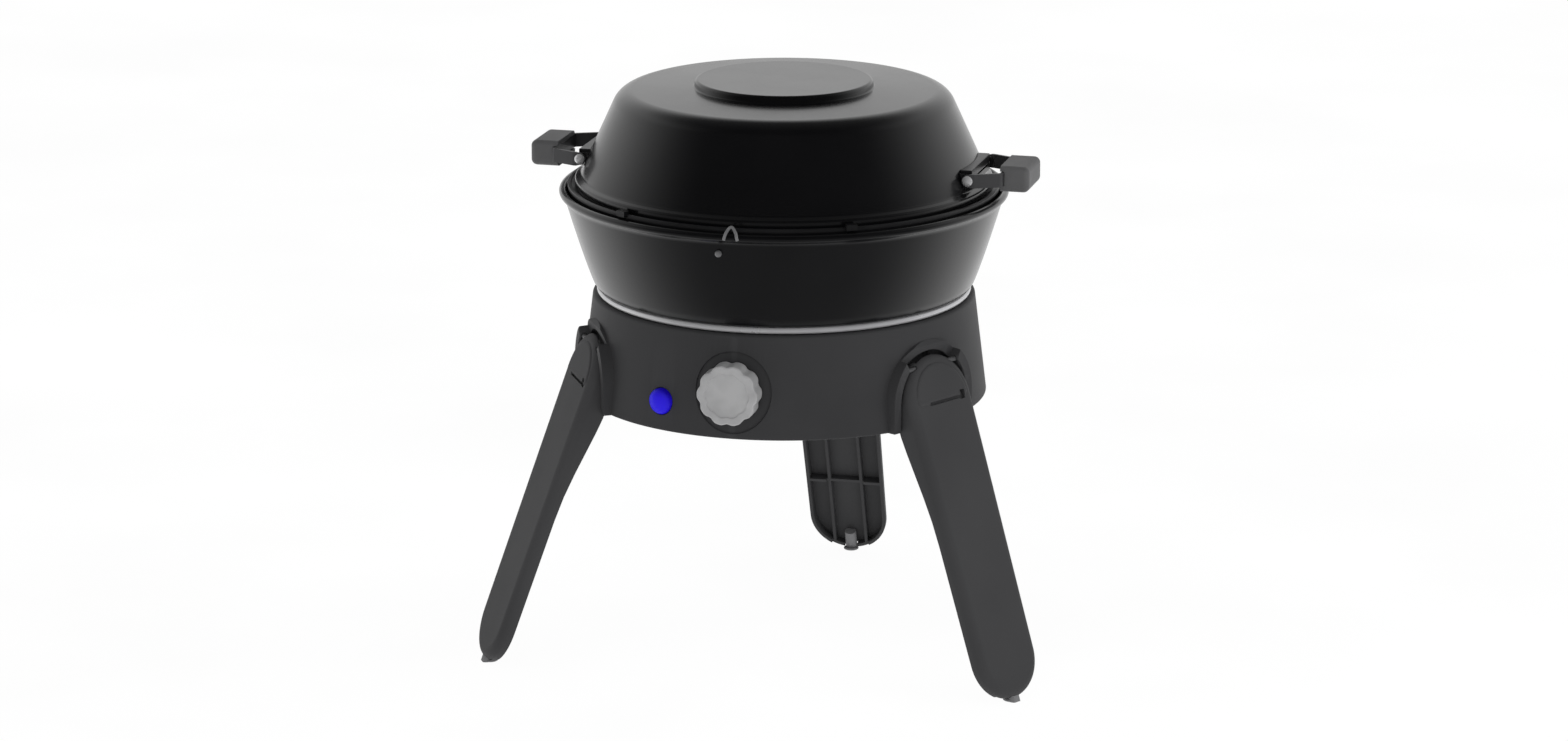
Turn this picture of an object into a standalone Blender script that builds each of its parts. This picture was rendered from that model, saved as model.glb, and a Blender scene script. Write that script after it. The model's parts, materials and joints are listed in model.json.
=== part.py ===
"""Portable tabletop gas grill: domed lid, grill plate, bowl, burner housing and three folding legs.

Scene units are metres, +Z up; sizes here are millimetres and degrees, scaled by MM on the way in.
The floor is z = 0 and the control knob faces -Y (the front). The round parts share one vertical
axis, the empty "grill_axis", and everything is drawn in its frame. Names ending in AZ are azimuths,
from -Y towards +X. Cutters overshoot open sides: ends that lie in free air have no exact meaning.
"""
import bpy
import bmesh
from math import sin, cos, pi, radians, degrees, atan2
from mathutils import Matrix, Vector

MM = 0.001

# ------------------------------------------------------------------ driving dimensions
GAP = 0.3                      # between two pieces that touch
AXIS_X, AXIS_Y = -1.58, -32.87
ROUND = 40                     # steps of a large turned part

LID_DISC_R, LID_DISC_TOP = 64.5, 419.0    # raised disc on the crown
LID_TOP = 411.4                # flat crown round the disc
LID_CROWN_R, LID_SHOULDER = 108.8, 16.0   # where the crown starts to roll over, and its radius
LID_WALL_SLOPE = 0.43          # growth of radius per millimetre down the wall
LID_MID_R, LID_MID_Z = 138.0, 369.5       # a point on the wall
LID_FOOT_R, LID_FOOT_Z = 146.8, 350.5     # where the wall meets the flange
LID_LIP_R, LID_LIP_Z = 151.0, 343.0       # lower edge of the flange
LID_WALL = 1.8

HANDLE_X, HANDLE_Z = 143.5, 359.0         # pivot
ARM_Y, ARM_Y1 = 35.5, 27.6     # outer faces of the strap's arms at the pivot and at the bar
ARM_T, ARM_H = 2.0, 10.0       # thickness and height of the strap
EAR_T = 3.4
EAR_Y = ARM_Y - ARM_T - GAP    # outer face of a bracket's ear
BAR_X = 23.5                   # pivot to the outer face of the strap's cross bar
GRIP_X0, GRIP_X1, GRIP_L = 20.6, 41.5, 44.0
GRIP_Z0, GRIP_Z1 = -9.8, 8.8
EYE_R = 2.3                    # hole for a handle rivet

PLATE_R, PLATE_TOP = 156.3, 344.2
PLATE_FLOOR, PLATE_UNDER = 328.0, 324.6
PLATE_TAB_AZ = (-32.0, 32.0)
PLATE_SLOTS = 12

BOWL_RIM_R, BOWL_RIM_Z, BEAD_R = 162.5, 338.0, 2.8
BOWL_WALL_R, BOWL_WALL_Z = 158.9, 335.0   # wall just below the rim bead
BOWL_FOOT_R, BOWL_FOOT_Z = 136.4, 268.5
BOWL_BULGE = 0.87              # exponent of the wall's curve; 1 is straight
BOWL_WALL = 2.0
BOWL_HOLE_R, COLLAR_TOP = 46.0, 282.0     # collar round the burner
CLIP_HALF = 4.6                # half width of the rim clip
CLIP_AZ, CLIP_RIVET_AZ, CLIP_RIVET_Z = 1.5, -2.3, 325.5

RING_R, RING_Z, RING_MINOR = 133.5, 265.8, 2.4

HOUSE_TOP_R, HOUSE_TOP = 138.6, 263.1
HOUSE_FOOT_R, HOUSE_FOOT = 147.6, 189.3
HOUSE_WALL = 3.0
HOUSE_HOLE_R = 104.0           # opening in the housing's top flange
POST_R = 5.0                   # screw posts on the housing
BOWL_SCREW_R, BOWL_SCREW_AZ = 112.0, (0.0, 120.0, 240.0)
COVER_SCREW_R, COVER_SCREW_AZ = 124.0, (30.0, 150.0, 270.0)

LEG_AZ = {"right": 61.0, "left": -59.0, "rear": 181.0}
LEG_LEAN = 20.2                # from the vertical
PIVOT_R, PIVOT_Z = 143.8, 232.0
LEG_FACE = 3.4                 # pivot to the leg's outer face
LEG_TOP, LEG_TIP = 8.4, -243.5            # along the leg, from the pivot
LEG_HEAD_W, LEG_TIP_W = 32.0, 29.8        # half widths
LEG_SKIN = 3.0
LEG_FLOOR = LEG_FACE - LEG_SKIN           # inner face of the skin
LEG_RIM = 2.6                  # side walls round the leg's open back
LEG_FOLDS = (146.0, 74)        # fully folded, and on the way up
PIN_R, PIN_HALF = 1.8, 30.6
RIB_Y, RIB_HALF = 12.5, 1.2    # middle of a long rib, and half its thickness
CROSS_RIB = -180.0             # the rib across the open back, along the leg
RIB_BACK = -5.0                # the ribs' rear edge
PEG_OUT, PEG_R = -3.2, 4.4     # the foot peg's axis off the pivot line, and its radius

SOCKET_Z, SOCKET_IN, SOCKET_OUT = 209.0, 33.4, 41.0   # arch round a leg's head
SOCKET_BACK = 121.0
BOSS_BACK = SOCKET_BACK - 3
ARCH_R, ARCH_KNEE, ARCH_TOP = 147.0, 237.0, 250.5     # face of the raised band round the arch

KNOB_Z, KNOB_R, KNOB_FACE, KNOB_BACK = 223.8, 22.0, 160.0, 144.4
KNOB_AXIS_R = 138.0            # grill axis to the empty that carries the knob
KNOB_LOBES, LOBE_DEPTH = 10, 2.2
SEAT_DEPTH, SEAT_R = 2.0, 28.9            # the knob's shallow round recess in the sloping wall
SPINDLE_R, SPINDLE_BORE_R = 3.0, 3.4
JET_Y = -97.0                  # valve body's inner end
IGN_AZ, IGN_Z, IGN_R = -22.2, 210.0, 9.4
ELEC_X, ELEC_Y = 34.0, -20.0   # spark electrode beside the burner
HOSE_AZ, HOSE_Z = -125.0, 226.0

# ------------------------------------------------------------------ looks
ENAMEL = dict(rgb=(0.012, 0.012, 0.013), rough=0.22, coat=0.6)
SHELL = dict(rgb=(0.045, 0.045, 0.047), rough=0.55)
STEEL = dict(rgb=(0.55, 0.55, 0.56), rough=0.3, metal=1.0)
DARK = dict(rgb=(0.03, 0.03, 0.032), rough=0.45, metal=0.4)
BRASS = dict(rgb=(0.70, 0.50, 0.22), rough=0.35, metal=1.0)
ALUMINIUM = dict(rgb=(0.60, 0.60, 0.62), rough=0.45, metal=1.0)
CHROME = dict(rgb=(0.85, 0.85, 0.87), rough=0.12, metal=1.0)
GREY = dict(rgb=(0.10, 0.10, 0.105), rough=0.6)
PLATE_BLACK = dict(rgb=(0.02, 0.02, 0.02), rough=0.5)
CAP_BLACK = dict(rgb=(0.03, 0.03, 0.03), rough=0.4)
PIEZO_BLACK = dict(rgb=(0.03, 0.03, 0.03), rough=0.5)
LEAD_BLACK = dict(rgb=(0.03, 0.03, 0.03), rough=0.6)
PEG_GREY = dict(rgb=(0.16, 0.16, 0.165), rough=0.7)
BLUE = dict(rgb=(0.01, 0.01, 0.6), rough=0.3)
CERAMIC = dict(rgb=(0.85, 0.84, 0.8), rough=0.3)


def material(name, rgb, rough, metal=0.0, coat=0.0):
    mat = bpy.data.materials.new(name)
    mat.use_nodes = True
    shader = mat.node_tree.nodes["Principled BSDF"]
    shader.inputs["Base Color"].default_value = (*rgb, 1)
    shader.inputs["Roughness"].default_value = rough
    shader.inputs["Metallic"].default_value = metal
    shader.inputs["Coat Weight"].default_value = coat
    return mat


# ------------------------------------------------------------------ a clean scene, two collections
for old in list(bpy.data.objects):
    bpy.data.objects.remove(old, do_unlink=True)
PARTS = bpy.data.collections.new("portable_grill")
CUTTERS = bpy.data.collections.new("cutters")
bpy.context.scene.collection.children.link(PARTS)
bpy.context.scene.collection.children.link(CUTTERS)


# ------------------------------------------------------------------ objects
def empty(name, loc, rot=(0, 0, 0), parent=None):
    obj = bpy.data.objects.new(name, None)
    obj.empty_display_size = 0.02
    PARTS.objects.link(obj)
    obj.location = [v * MM for v in loc]
    obj.rotation_euler = [radians(v) for v in rot]
    obj.parent = parent
    return obj


AXIS = empty("grill_axis", (AXIS_X, AXIS_Y, 0))


def place(obj, loc=(0, 0, 0), rot=(0, 0, 0), parent=None):
    """Stand an object in the frame of its parent, the grill's axis unless told otherwise."""
    obj.parent = parent or AXIS
    obj.location = [v * MM for v in loc]
    obj.rotation_euler = [radians(v) for v in rot]
    return obj


def part(name, mesh, look, smooth=True, **at):
    obj = bpy.data.objects.new(name, mesh)
    mesh.name = name
    PARTS.objects.link(obj)
    mesh.materials.append(material(name, **look))
    if smooth and len(mesh.polygons):
        mesh.shade_smooth()
        mesh.set_sharp_from_angle(angle=radians(32))
    return place(obj, **at)


def cutter(name, mesh, **at):
    obj = bpy.data.objects.new("cut_" + name, mesh)
    CUTTERS.objects.link(obj)
    obj.hide_render = True
    obj.display_type = "WIRE"
    return place(obj, **at)


def boolean(target, other, how="DIFFERENCE"):
    mod = target.modifiers.new(other.name, "BOOLEAN")
    mod.operation = how
    mod.solver = "EXACT"
    mod.object = other


def cut(target, name, mesh, **at):
    boolean(target, cutter(name, mesh, **at))


def add(target, name, mesh, **at):
    boolean(target, cutter(name, mesh, **at), "UNION")


def trim(target, name, mesh, **at):
    """Keep only what lies inside the mesh."""
    boolean(target, cutter(name, mesh, **at), "INTERSECT")


def profile(points):
    """Outline of (radius, height) to turn: open if both ends are on the axis, else a ring."""
    mesh = bpy.data.meshes.new("profile")
    count = len(points)
    edges = [(i, i + 1) for i in range(count - 1)]
    if points[0][0] != 0 or points[-1][0] != 0:
        edges.append((count - 1, 0))
    mesh.from_pydata([(r * MM, 0, z * MM) for r, z in points], edges, [])
    return mesh


def screw(obj, steps):
    mod = obj.modifiers.new("turn", "SCREW")
    mod.steps = mod.render_steps = steps
    mod.use_merge_vertices = True
    mod.merge_threshold = 0.00001
    mod.use_smooth_shade = True
    return obj


def turned(name, points, look, steps=ROUND, **at):
    """A part turned about its own Z."""
    return screw(part(name, profile(points), look, **at), steps)


def turned_cutter(name, points):
    return screw(cutter(name, profile(points)), ROUND)


def wire(name, points, radius, look, sides=1, **at):
    """A tube or wire through points, as a POLY curve with a round bevel and filled ends."""
    curve = bpy.data.curves.new(name, "CURVE")
    curve.dimensions = "3D"
    curve.bevel_depth = radius * MM
    curve.bevel_resolution = sides
    curve.use_fill_caps = True
    spline = curve.splines.new("POLY")
    spline.points.add(len(points) - 1)
    for knot, point in zip(spline.points, points):
        knot.co = (*[v * MM for v in point], 1)
    obj = bpy.data.objects.new(name, curve)
    PARTS.objects.link(obj)
    curve.materials.append(material(name, **look))
    weld = obj.modifiers.new("caps", "WELD")
    weld.merge_threshold = 0.00001
    place(obj, **at)


# ------------------------------------------------------------------ meshes
def from_bmesh(bm):
    """Mesh with its normals outwards."""
    mesh = bpy.data.meshes.new("shape")
    bmesh.ops.recalc_face_normals(bm, faces=bm.faces)
    if bm.calc_volume(signed=True) < 0:
        bmesh.ops.reverse_faces(bm, faces=bm.faces)
    bm.to_mesh(mesh)
    bm.free()
    return mesh


def box(x, y, z):
    """A block between pairs of limits."""
    bm = bmesh.new()
    bmesh.ops.create_cube(bm, size=1)
    low, high = Vector((x[0], y[0], z[0])), Vector((x[1], y[1], z[1]))
    size, mid = high - low, (low + high) / 2
    for v in bm.verts:
        v.co = Vector([v.co[i] * size[i] + mid[i] for i in range(3)]) * MM
    return from_bmesh(bm)


def rod(radius, start, end, axis="Z", sides=20):
    """A cylinder from start to end along an axis."""
    bm = bmesh.new()
    bmesh.ops.create_cone(bm, cap_ends=True, segments=sides, radius1=radius * MM,
                          radius2=radius * MM, depth=(end - start) * MM)
    bmesh.ops.translate(bm, verts=bm.verts, vec=(0, 0, (start + end) / 2 * MM))
    if axis != "Z":
        angle, about = {"X": (pi / 2, "Y"), "Y": (-pi / 2, "X")}[axis]
        bmesh.ops.rotate(bm, verts=bm.verts, cent=(0, 0, 0), matrix=Matrix.Rotation(angle, 3, about))
    return from_bmesh(bm)


def plate(outline, thick, plane, start):
    """A flat outline in a plane, thickened from start along the third axis.

    The fill comes from a 2D curve that is made a mesh.
    """
    curve = bpy.data.curves.new("outline", "CURVE")
    curve.dimensions = "2D"
    curve.fill_mode = "BOTH"
    curve.extrude = thick / 2 * MM
    spline = curve.splines.new("POLY")
    spline.points.add(len(outline) - 1)
    spline.use_cyclic_u = True
    for knot, (a, b) in zip(spline.points, outline):
        knot.co = (a * MM, b * MM, 0, 1)
    obj = bpy.data.objects.new("outline", curve)
    bpy.context.scene.collection.objects.link(obj)
    depsgraph = bpy.context.evaluated_depsgraph_get()
    mesh = bpy.data.meshes.new_from_object(obj.evaluated_get(depsgraph))
    bpy.data.objects.remove(obj, do_unlink=True)
    bm = bmesh.new()
    bm.from_mesh(mesh)
    bmesh.ops.remove_doubles(bm, verts=bm.verts, dist=1e-6)
    mid = (start + thick / 2) * MM
    for v in bm.verts:
        a, b, c = v.co
        v.co = {"XY": (a, b, c + mid), "YZ": (c + mid, a, b), "XZ": (a, c + mid, b)}[plane]
    return from_bmesh(bm)


# ------------------------------------------------------------------ points and directions
def arc(cx, cy, radius, start, end, steps):
    points = []
    for i in range(steps + 1):
        angle = radians(start + (end - start) * i / steps)
        points.append((cx + radius * cos(angle), cy + radius * sin(angle)))
    return points


def smooth_path(points, per=3):
    """Catmull-Rom points along a bent pipe, per steps to a stretch."""
    knots = [Vector(q) for q in points]
    knots = [knots[0] * 2 - knots[1]] + knots + [knots[-1] * 2 - knots[-2]]
    path = []
    for i in range(1, len(knots) - 2):
        a, b, c, d = knots[i - 1:i + 3]
        for k in range(per):
            t = k / per
            path.append(0.5 * ((2 * b) + (c - a) * t + (2 * a - 5 * b + 4 * c - d) * t * t
                               + (3 * b - a - 3 * c + d) * t ** 3))
    return [tuple(v) for v in path + [knots[-2]]]


def azimuth(az):
    """Turn that brings +X to an azimuth."""
    return (0, 0, az - 90)


def outwards(az):
    """Turn that lays +Z along an azimuth."""
    return (90, 0, az)


def around(radius, az, z=0):
    """The point at a radius and azimuth."""
    return (radius * sin(radians(az)), -radius * cos(radians(az)), z)


# ------------------------------------------------------------------ lid
def lid_profile(off, steps):
    """Line of the lid from the axis to its foot, off inside the outer face."""
    slope = degrees(atan2(LID_WALL_SLOPE, 1))
    nx, nz = cos(radians(slope)), sin(radians(slope))     # the wall's normal
    return ([(0, LID_DISC_TOP - off),
             (LID_DISC_R - 2.6 - off / 2, LID_DISC_TOP - off),
             (LID_DISC_R - off, LID_DISC_TOP - 2.4 - off),
             (LID_DISC_R + 2.0 - off, LID_TOP - off)]
            + arc(LID_CROWN_R, LID_TOP - LID_SHOULDER, LID_SHOULDER - off, 90, slope, steps)
            + [(LID_MID_R - off * nx, LID_MID_Z - off * nz),
               (LID_FOOT_R - off, LID_FOOT_Z - off * 0.75)])


lid_outer = lid_profile(0.0, 3)
lid_lip = [(LID_LIP_R, LID_FOOT_Z - 3.6), (LID_LIP_R, LID_LIP_Z),
           (LID_LIP_R - LID_WALL, LID_LIP_Z), (LID_LIP_R - LID_WALL, LID_FOOT_Z - 4.6)]
turned("lid", lid_outer + lid_lip + lid_profile(LID_WALL, 2)[::-1], ENAMEL)

# the lid's body from the shoulder down, a gap larger, to fit the brackets against
lid_skin = turned_cutter("lid_skin", [(r + GAP, z) for r, z in lid_outer[4:]]
                         + [(LID_LIP_R + GAP, LID_FOOT_Z - 2.0), (LID_LIP_R + GAP, 340),
                            (90, 340), (90, LID_TOP - 12)])


# ------------------------------------------------------------------ lid handles
def ear_outline():
    """A bracket's ear in (x, z), round at the pivot."""
    return ([(132, 354.2), (HANDLE_X, 354.6)] + arc(HANDLE_X, HANDLE_Z, 4.4, -70, 70, 4)
            + [(HANDLE_X, 363.4), (132, 364.0)])


def strap_outline():
    """The bent strip seen from above: two arms that close in towards a cross bar."""
    outside = [(-4.4, ARM_Y), (4.6, ARM_Y), (BAR_X - 2.6, ARM_Y1), (BAR_X, ARM_Y1 - 2.8)]
    inside = [(BAR_X - ARM_T, ARM_Y1 - 3.6), (BAR_X - 3.6, ARM_Y1 - ARM_T + 0.2),
              (4.2, ARM_Y - ARM_T), (-4.4, ARM_Y - ARM_T)]
    return ([(x, -y) for x, y in outside] + outside[::-1]
            + inside[::-1] + [(x, -y) for x, y in inside])


def arm_end_outline():
    """What is cut off an arm in (x, z) to leave it round behind the pivot."""
    half = ARM_H / 2 + 0.1
    return ([(-9, -9), (3.0, -9), (3.0, -half)] + arc(0, 0, 4.3, -90, -270, 6)
            + [(3.0, half), (3.0, 9), (-9, 9)])


def grip_plan():
    """The grip seen from above: rounded at its four corners."""
    big, small, y = 4.5, 2, GRIP_L / 2
    return (arc(GRIP_X1 - big, -y + big, big, -90, 0, 3)
            + arc(GRIP_X1 - big, y - big, big, 0, 90, 3)
            + arc(GRIP_X0 + small, y - small, small, 90, 180, 1)
            + arc(GRIP_X0 + small, -y + small, small, 180, 270, 1))


def grip_side():
    """The grip in (x, z): chamfered along its long edges."""
    big, small = 3.0, 1.5
    return [(GRIP_X0 - 1, GRIP_Z0), (GRIP_X1 - big, GRIP_Z0), (GRIP_X1, GRIP_Z0 + big),
            (GRIP_X1, GRIP_Z1 - big), (GRIP_X1 - big, GRIP_Z1), (GRIP_X0 + small, GRIP_Z1),
            (GRIP_X0 - 1, GRIP_Z1 - small - 1)]


def rivet_profile():
    """Shank through the arm and into the ear, with a domed head outside."""
    head_in, head_out, shank_end = ARM_Y + GAP, ARM_Y + 2.6, EAR_Y - 3.0
    return [(0, head_out), (2.4, head_out - 0.2), (3.8, head_out - 1.1), (3.8, head_in),
            (2.0, head_in), (2.0, shank_end), (0, shank_end)]


def handle(side, sign):
    turn = (0, 0, 0 if sign > 0 else 180)
    pivot = (HANDLE_X * sign, 0, HANDLE_Z)
    # the bracket hugs the lid's wall and holds out two ears
    bracket = part(f"handle_bracket_{side}",
                   box((132, 145.6), (-EAR_Y + 3.2, EAR_Y - 3.2), (353.6, 365.6)),
                   DARK, smooth=False, rot=turn)
    for s in (1, -1):
        start = EAR_Y - EAR_T if s > 0 else -EAR_Y
        add(bracket, f"ear_{side}_{s}", plate(ear_outline(), EAR_T, "XZ", start), rot=turn)
    boolean(bracket, lid_skin)
    cut(bracket, f"bore_{side}", rod(EYE_R, -40, 40, "Y", 12), loc=pivot, rot=turn)

    # the strap and the grip hang on the pivot
    at = dict(parent=empty(f"handle_pivot_{side}", pivot, turn, AXIS))
    strap = part(f"handle_strap_{side}", plate(strap_outline(), ARM_H, "XY", -ARM_H / 2),
                 DARK, smooth=False, **at)
    cut(strap, f"eye_{side}", rod(EYE_R, -40, 40, "Y", 12), **at)
    cut(strap, f"arm_end_{side}", plate(arm_end_outline(), 90, "XZ", -45), **at)

    grip = part(f"handle_grip_{side}", plate(grip_plan(), 40, "XY", -20), GREY, smooth=False, **at)
    trim(grip, f"grip_side_{side}", plate(grip_side(), GRIP_L + 4, "XZ", -GRIP_L / 2 - 2), **at)
    bar_half = ARM_H / 2 + GAP
    cut(grip, f"bar_room_{side}",
        box((BAR_X - 9, BAR_X + GAP), (-40, 40), (-bar_half, bar_half)), **at)

    for s, end in ((1, "rear"), (-1, "front")):
        turned(f"handle_rivet_{side}_{end}", rivet_profile(), STEEL, 12, loc=pivot, rot=(-90 * s, 0, 0))


handle("right", 1)
handle("left", -1)

# ------------------------------------------------------------------ grill plate
PLATE_PROFILE = [               # (radius, height): upper face outwards, then the underside
    (0, PLATE_FLOOR), (141.0, PLATE_FLOOR), (144.0, 330.0), (147.2, 342.3), (153.6, 342.3),
    (154.0, PLATE_TOP - 0.4), (PLATE_R - 1.6, PLATE_TOP), (PLATE_R, PLATE_TOP - 0.6),
    (PLATE_R, 341.5), (151.2, 326.5), (147.5, PLATE_UNDER), (0, PLATE_UNDER)]
grill = turned("grill_plate", PLATE_PROFILE, PLATE_BLACK)
for k, az in enumerate(PLATE_TAB_AZ):
    add(grill, f"plate_tab_{k}", box((153.5, 158.3), (-4.0, 4.0), (342.0, 346.2)), rot=azimuth(az))
for k in range(PLATE_SLOTS):
    az = 360.0 / PLATE_SLOTS * k + 15
    cut(grill, f"slot_{k}", box((88, 126), (-3, 3), (318, 334)), rot=azimuth(az))


# ------------------------------------------------------------------ bowl
def bowl_r(z):
    """Outer radius of the bowl's wall, which bulges very slightly."""
    up = (z - BOWL_FOOT_Z) / (BOWL_WALL_Z - BOWL_FOOT_Z)
    return BOWL_FOOT_R + (BOWL_WALL_R - BOWL_FOOT_R) * up ** BOWL_BULGE


bowl_inner_z = BOWL_FOOT_Z + BOWL_WALL
collar_in = BOWL_HOLE_R + 2
bowl_bead = arc(BOWL_RIM_R - BEAD_R, BOWL_RIM_Z, BEAD_R, 180, -75, 4)
bowl_outside = [(bowl_r(z), z) for z in (334.0, 312.0, 288.0, 271.0)]
bowl_floor = [(BOWL_FOOT_R - 2.4, BOWL_FOOT_Z), (BOWL_HOLE_R, BOWL_FOOT_Z),
              (BOWL_HOLE_R, COLLAR_TOP), (collar_in, COLLAR_TOP),
              (collar_in, bowl_inner_z), (BOWL_FOOT_R - 4, bowl_inner_z)]
bowl_inside = [(bowl_r(z) - BOWL_WALL - 0.2, z) for z in (274.0, 288.0, 312.0, 332.0)]
bowl = turned("bowl", bowl_bead + bowl_outside + bowl_floor + bowl_inside, ENAMEL)
for k, az in enumerate(BOWL_SCREW_AZ):
    cut(bowl, f"bowl_hole_{k}", rod(2.4, 250, 280, "Z", 12), loc=around(BOWL_SCREW_R, az))

# rim clip: a short bent wire astride the rim bead, and a rivet through the wall below it
CLIP_LEG = [                   # (x in from the clip's side, y, z), from the foot up
    (0, -164.1, 335.4), (0.3, -164.2, 338.6), (1.2, -162.9, 342.4), (CLIP_HALF - 1.2, -161.6, 345.9)]
clip_path = ([(x - CLIP_HALF, y, z) for x, y, z in CLIP_LEG]
             + [(CLIP_HALF - x, y, z) for x, y, z in CLIP_LEG[::-1]])
wire("rim_clip", clip_path, 1.1, STEEL, rot=(0, 0, CLIP_AZ))
CLIP_RIVET = [(0, 159.6), (1.6, 159.2), (2.4, 158.2), (2.4, 156.9), (1.2, 156.9), (1.2, 152.5),
              (0, 154.0)]      # (radius, distance out from the grill's axis)
turned("rim_clip_rivet", CLIP_RIVET, STEEL, 12, rot=outwards(CLIP_RIVET_AZ), loc=(0, 0, CLIP_RIVET_Z))
cut(bowl, "clip_hole", rod(1.5, -175, -145, "Y", 12),
    rot=(0, 0, CLIP_RIVET_AZ), loc=(0, 0, CLIP_RIVET_Z))

# ------------------------------------------------------------------ bright ring under the bowl
turned("trim_ring", arc(RING_R, RING_Z, RING_MINOR, 90, -270, 6)[:-1], CHROME)


# ------------------------------------------------------------------ burner housing
def house_r(z):
    """Outer radius of the housing's wall."""
    return HOUSE_TOP_R + (HOUSE_TOP - z) * (HOUSE_FOOT_R - HOUSE_TOP_R) / (HOUSE_TOP - HOUSE_FOOT)


def leg_outline(inset=0.0, steps=12):
    """The leg seen square on to its face, (across, along)."""
    return (arc(0, LEG_TOP - LEG_HEAD_W, LEG_HEAD_W - inset, 180, 0, steps)
            + arc(0, LEG_TIP + LEG_TIP_W, LEG_TIP_W - inset, 0, -180, steps))


def arch(radius, foot):
    """Arch round a leg's head, (across, z)."""
    return [(-radius, foot)] + arc(0, SOCKET_Z, radius, 180, 0, 14) + [(radius, foot)]


HOUSE_PROFILE = [
    (HOUSE_HOLE_R, HOUSE_TOP), (HOUSE_TOP_R - 1.0, HOUSE_TOP), (HOUSE_TOP_R, HOUSE_TOP - 1.0),
    (HOUSE_FOOT_R, HOUSE_FOOT + 0.8), (HOUSE_FOOT_R - 0.8, HOUSE_FOOT),
    (HOUSE_FOOT_R - HOUSE_WALL, HOUSE_FOOT),
    (house_r(HOUSE_TOP - 3) - HOUSE_WALL, HOUSE_TOP - 3), (HOUSE_HOLE_R, HOUSE_TOP - 3)]
house = turned("burner_housing", HOUSE_PROFILE, SHELL)

# a solid arch round each leg's head, a low raised band on the wall
BAND_SIDE = [                  # (out, z)
    (BOSS_BACK, 186), (BOSS_BACK, 252), (138.0, 252), (ARCH_R - 6.9, ARCH_TOP),
    (ARCH_R - 0.6, ARCH_KNEE + 1.4), (ARCH_R, ARCH_KNEE), (ARCH_R, 186)]
HINGE = {}
for name, az in LEG_AZ.items():
    turn = azimuth(az)
    HINGE[name] = empty(f"leg_pivot_{name}", around(PIVOT_R, az, PIVOT_Z), turn, AXIS)
    boss = cutter(f"boss_{name}", plate(arch(SOCKET_OUT, HOUSE_FOOT), 60, "YZ", BOSS_BACK), rot=turn)
    trim(boss, f"band_{name}", plate(BAND_SIDE, 100, "XZ", -50), rot=turn)
    boolean(house, boss, "UNION")
for name, az in LEG_AZ.items():
    cut(house, f"pocket_{name}", plate(arch(SOCKET_IN, 180), 60, "YZ", SOCKET_BACK), rot=azimuth(az))
    # room for the leg on its way up and when it stands folded
    for k, fold in enumerate(LEG_FOLDS):
        cut(house, f"swing_room_{name}_{k}",
            plate(leg_outline(-0.9, 14), LEG_FACE + 17.2, "YZ", -16.6),
            rot=(0, -LEG_LEAN - fold, 0), parent=HINGE[name])
    cut(house, f"pin_seat_{name}", rod(PIN_R + 0.15, -PIN_HALF - 0.4, PIN_HALF + 0.4, "Y", 14),
        parent=HINGE[name])

# shallow round recess for the knob in the sloping wall, with a thicker wall behind it
at_knob = dict(loc=(0, 0, KNOB_Z))
SOLID_FOOT = 194.3
pad = cutter("knob_pad", rod(SEAT_R + 2.2, -150, -133.4, "Y", 24), **at_knob)
house_solid = turned_cutter("house_solid", [
    (0, HOUSE_TOP - 0.5), (HOUSE_TOP_R - 0.4, HOUSE_TOP - 0.5),
    (house_r(SOLID_FOOT) - 0.4, SOLID_FOOT), (0, SOLID_FOOT)])
boolean(pad, house_solid, "INTERSECT")
boolean(house, pad, "UNION")
seat = cutter("knob_seat", rod(SEAT_R, -160, -130, "Y", 24), **at_knob)
boolean(seat, turned_cutter("seat_floor", [
    (0, 300.0), (house_r(300.0) - SEAT_DEPTH, 300.0),
    (house_r(150.0) - SEAT_DEPTH, 150.0), (0, 150.0)]))
boolean(house, seat)

cut(house, "spindle_hole", rod(4.6, -146, -125, "Y", 18), **at_knob)
cut(house, "igniter_hole", rod(IGN_R + 0.4, 125, 150, "X", 20), loc=(0, 0, IGN_Z), rot=azimuth(IGN_AZ))
cut(house, "hose_hole", rod(5.6, 125, 150, "X", 16), loc=(0, 0, HOSE_Z), rot=azimuth(HOSE_AZ))
for k, az in enumerate(BOWL_SCREW_AZ):
    at = dict(loc=around(BOWL_SCREW_R, az))
    add(house, f"bowl_post_{k}", rod(POST_R, HOUSE_TOP - 2, BOWL_FOOT_Z - GAP, "Z", 14), **at)
    cut(house, f"bowl_tap_{k}", rod(2.3, 250, 280, "Z", 12), **at)
for k, az in enumerate(COVER_SCREW_AZ):
    at = dict(loc=around(COVER_SCREW_R, az))
    add(house, f"cover_post_{k}", rod(POST_R, 194.2, HOUSE_TOP - 2, "Z", 12), **at)
    cut(house, f"cover_tap_{k}", rod(1.9, 180, 206, "Z", 10), **at)

# ------------------------------------------------------------------ bottom cover
COVER_TOP, COVER_UNDER, COVER_HOLE_R = 194.0, 191.5, 20.0
cover_r = house_r(COVER_TOP) - HOUSE_WALL - 0.5
cover = turned("bottom_cover", [
    (COVER_HOLE_R, COVER_TOP), (136.0, COVER_TOP), (cover_r, COVER_TOP - 0.5),
    (cover_r, COVER_UNDER), (COVER_HOLE_R, COVER_UNDER)], SHELL, 48)
notch_half = SOCKET_OUT + 0.4
for name, az in LEG_AZ.items():
    cut(cover, f"cover_notch_{name}",
        box((BOSS_BACK - 0.4, 160), (-notch_half, notch_half), (180, 200)), rot=azimuth(az))
COVER_SCREW = [(0, 204.0), (1.6, 204.0), (1.6, 191.2), (3.8, 191.2), (3.4, 189.2), (0, 189.0)]
for k, az in enumerate(COVER_SCREW_AZ):
    at = dict(loc=around(COVER_SCREW_R, az))
    cut(cover, f"cover_hole_{k}", rod(2.3, 180, 200, "Z", 10), **at)
    turned(f"cover_screw_{k + 1}", COVER_SCREW, STEEL, 12, **at)
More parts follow.
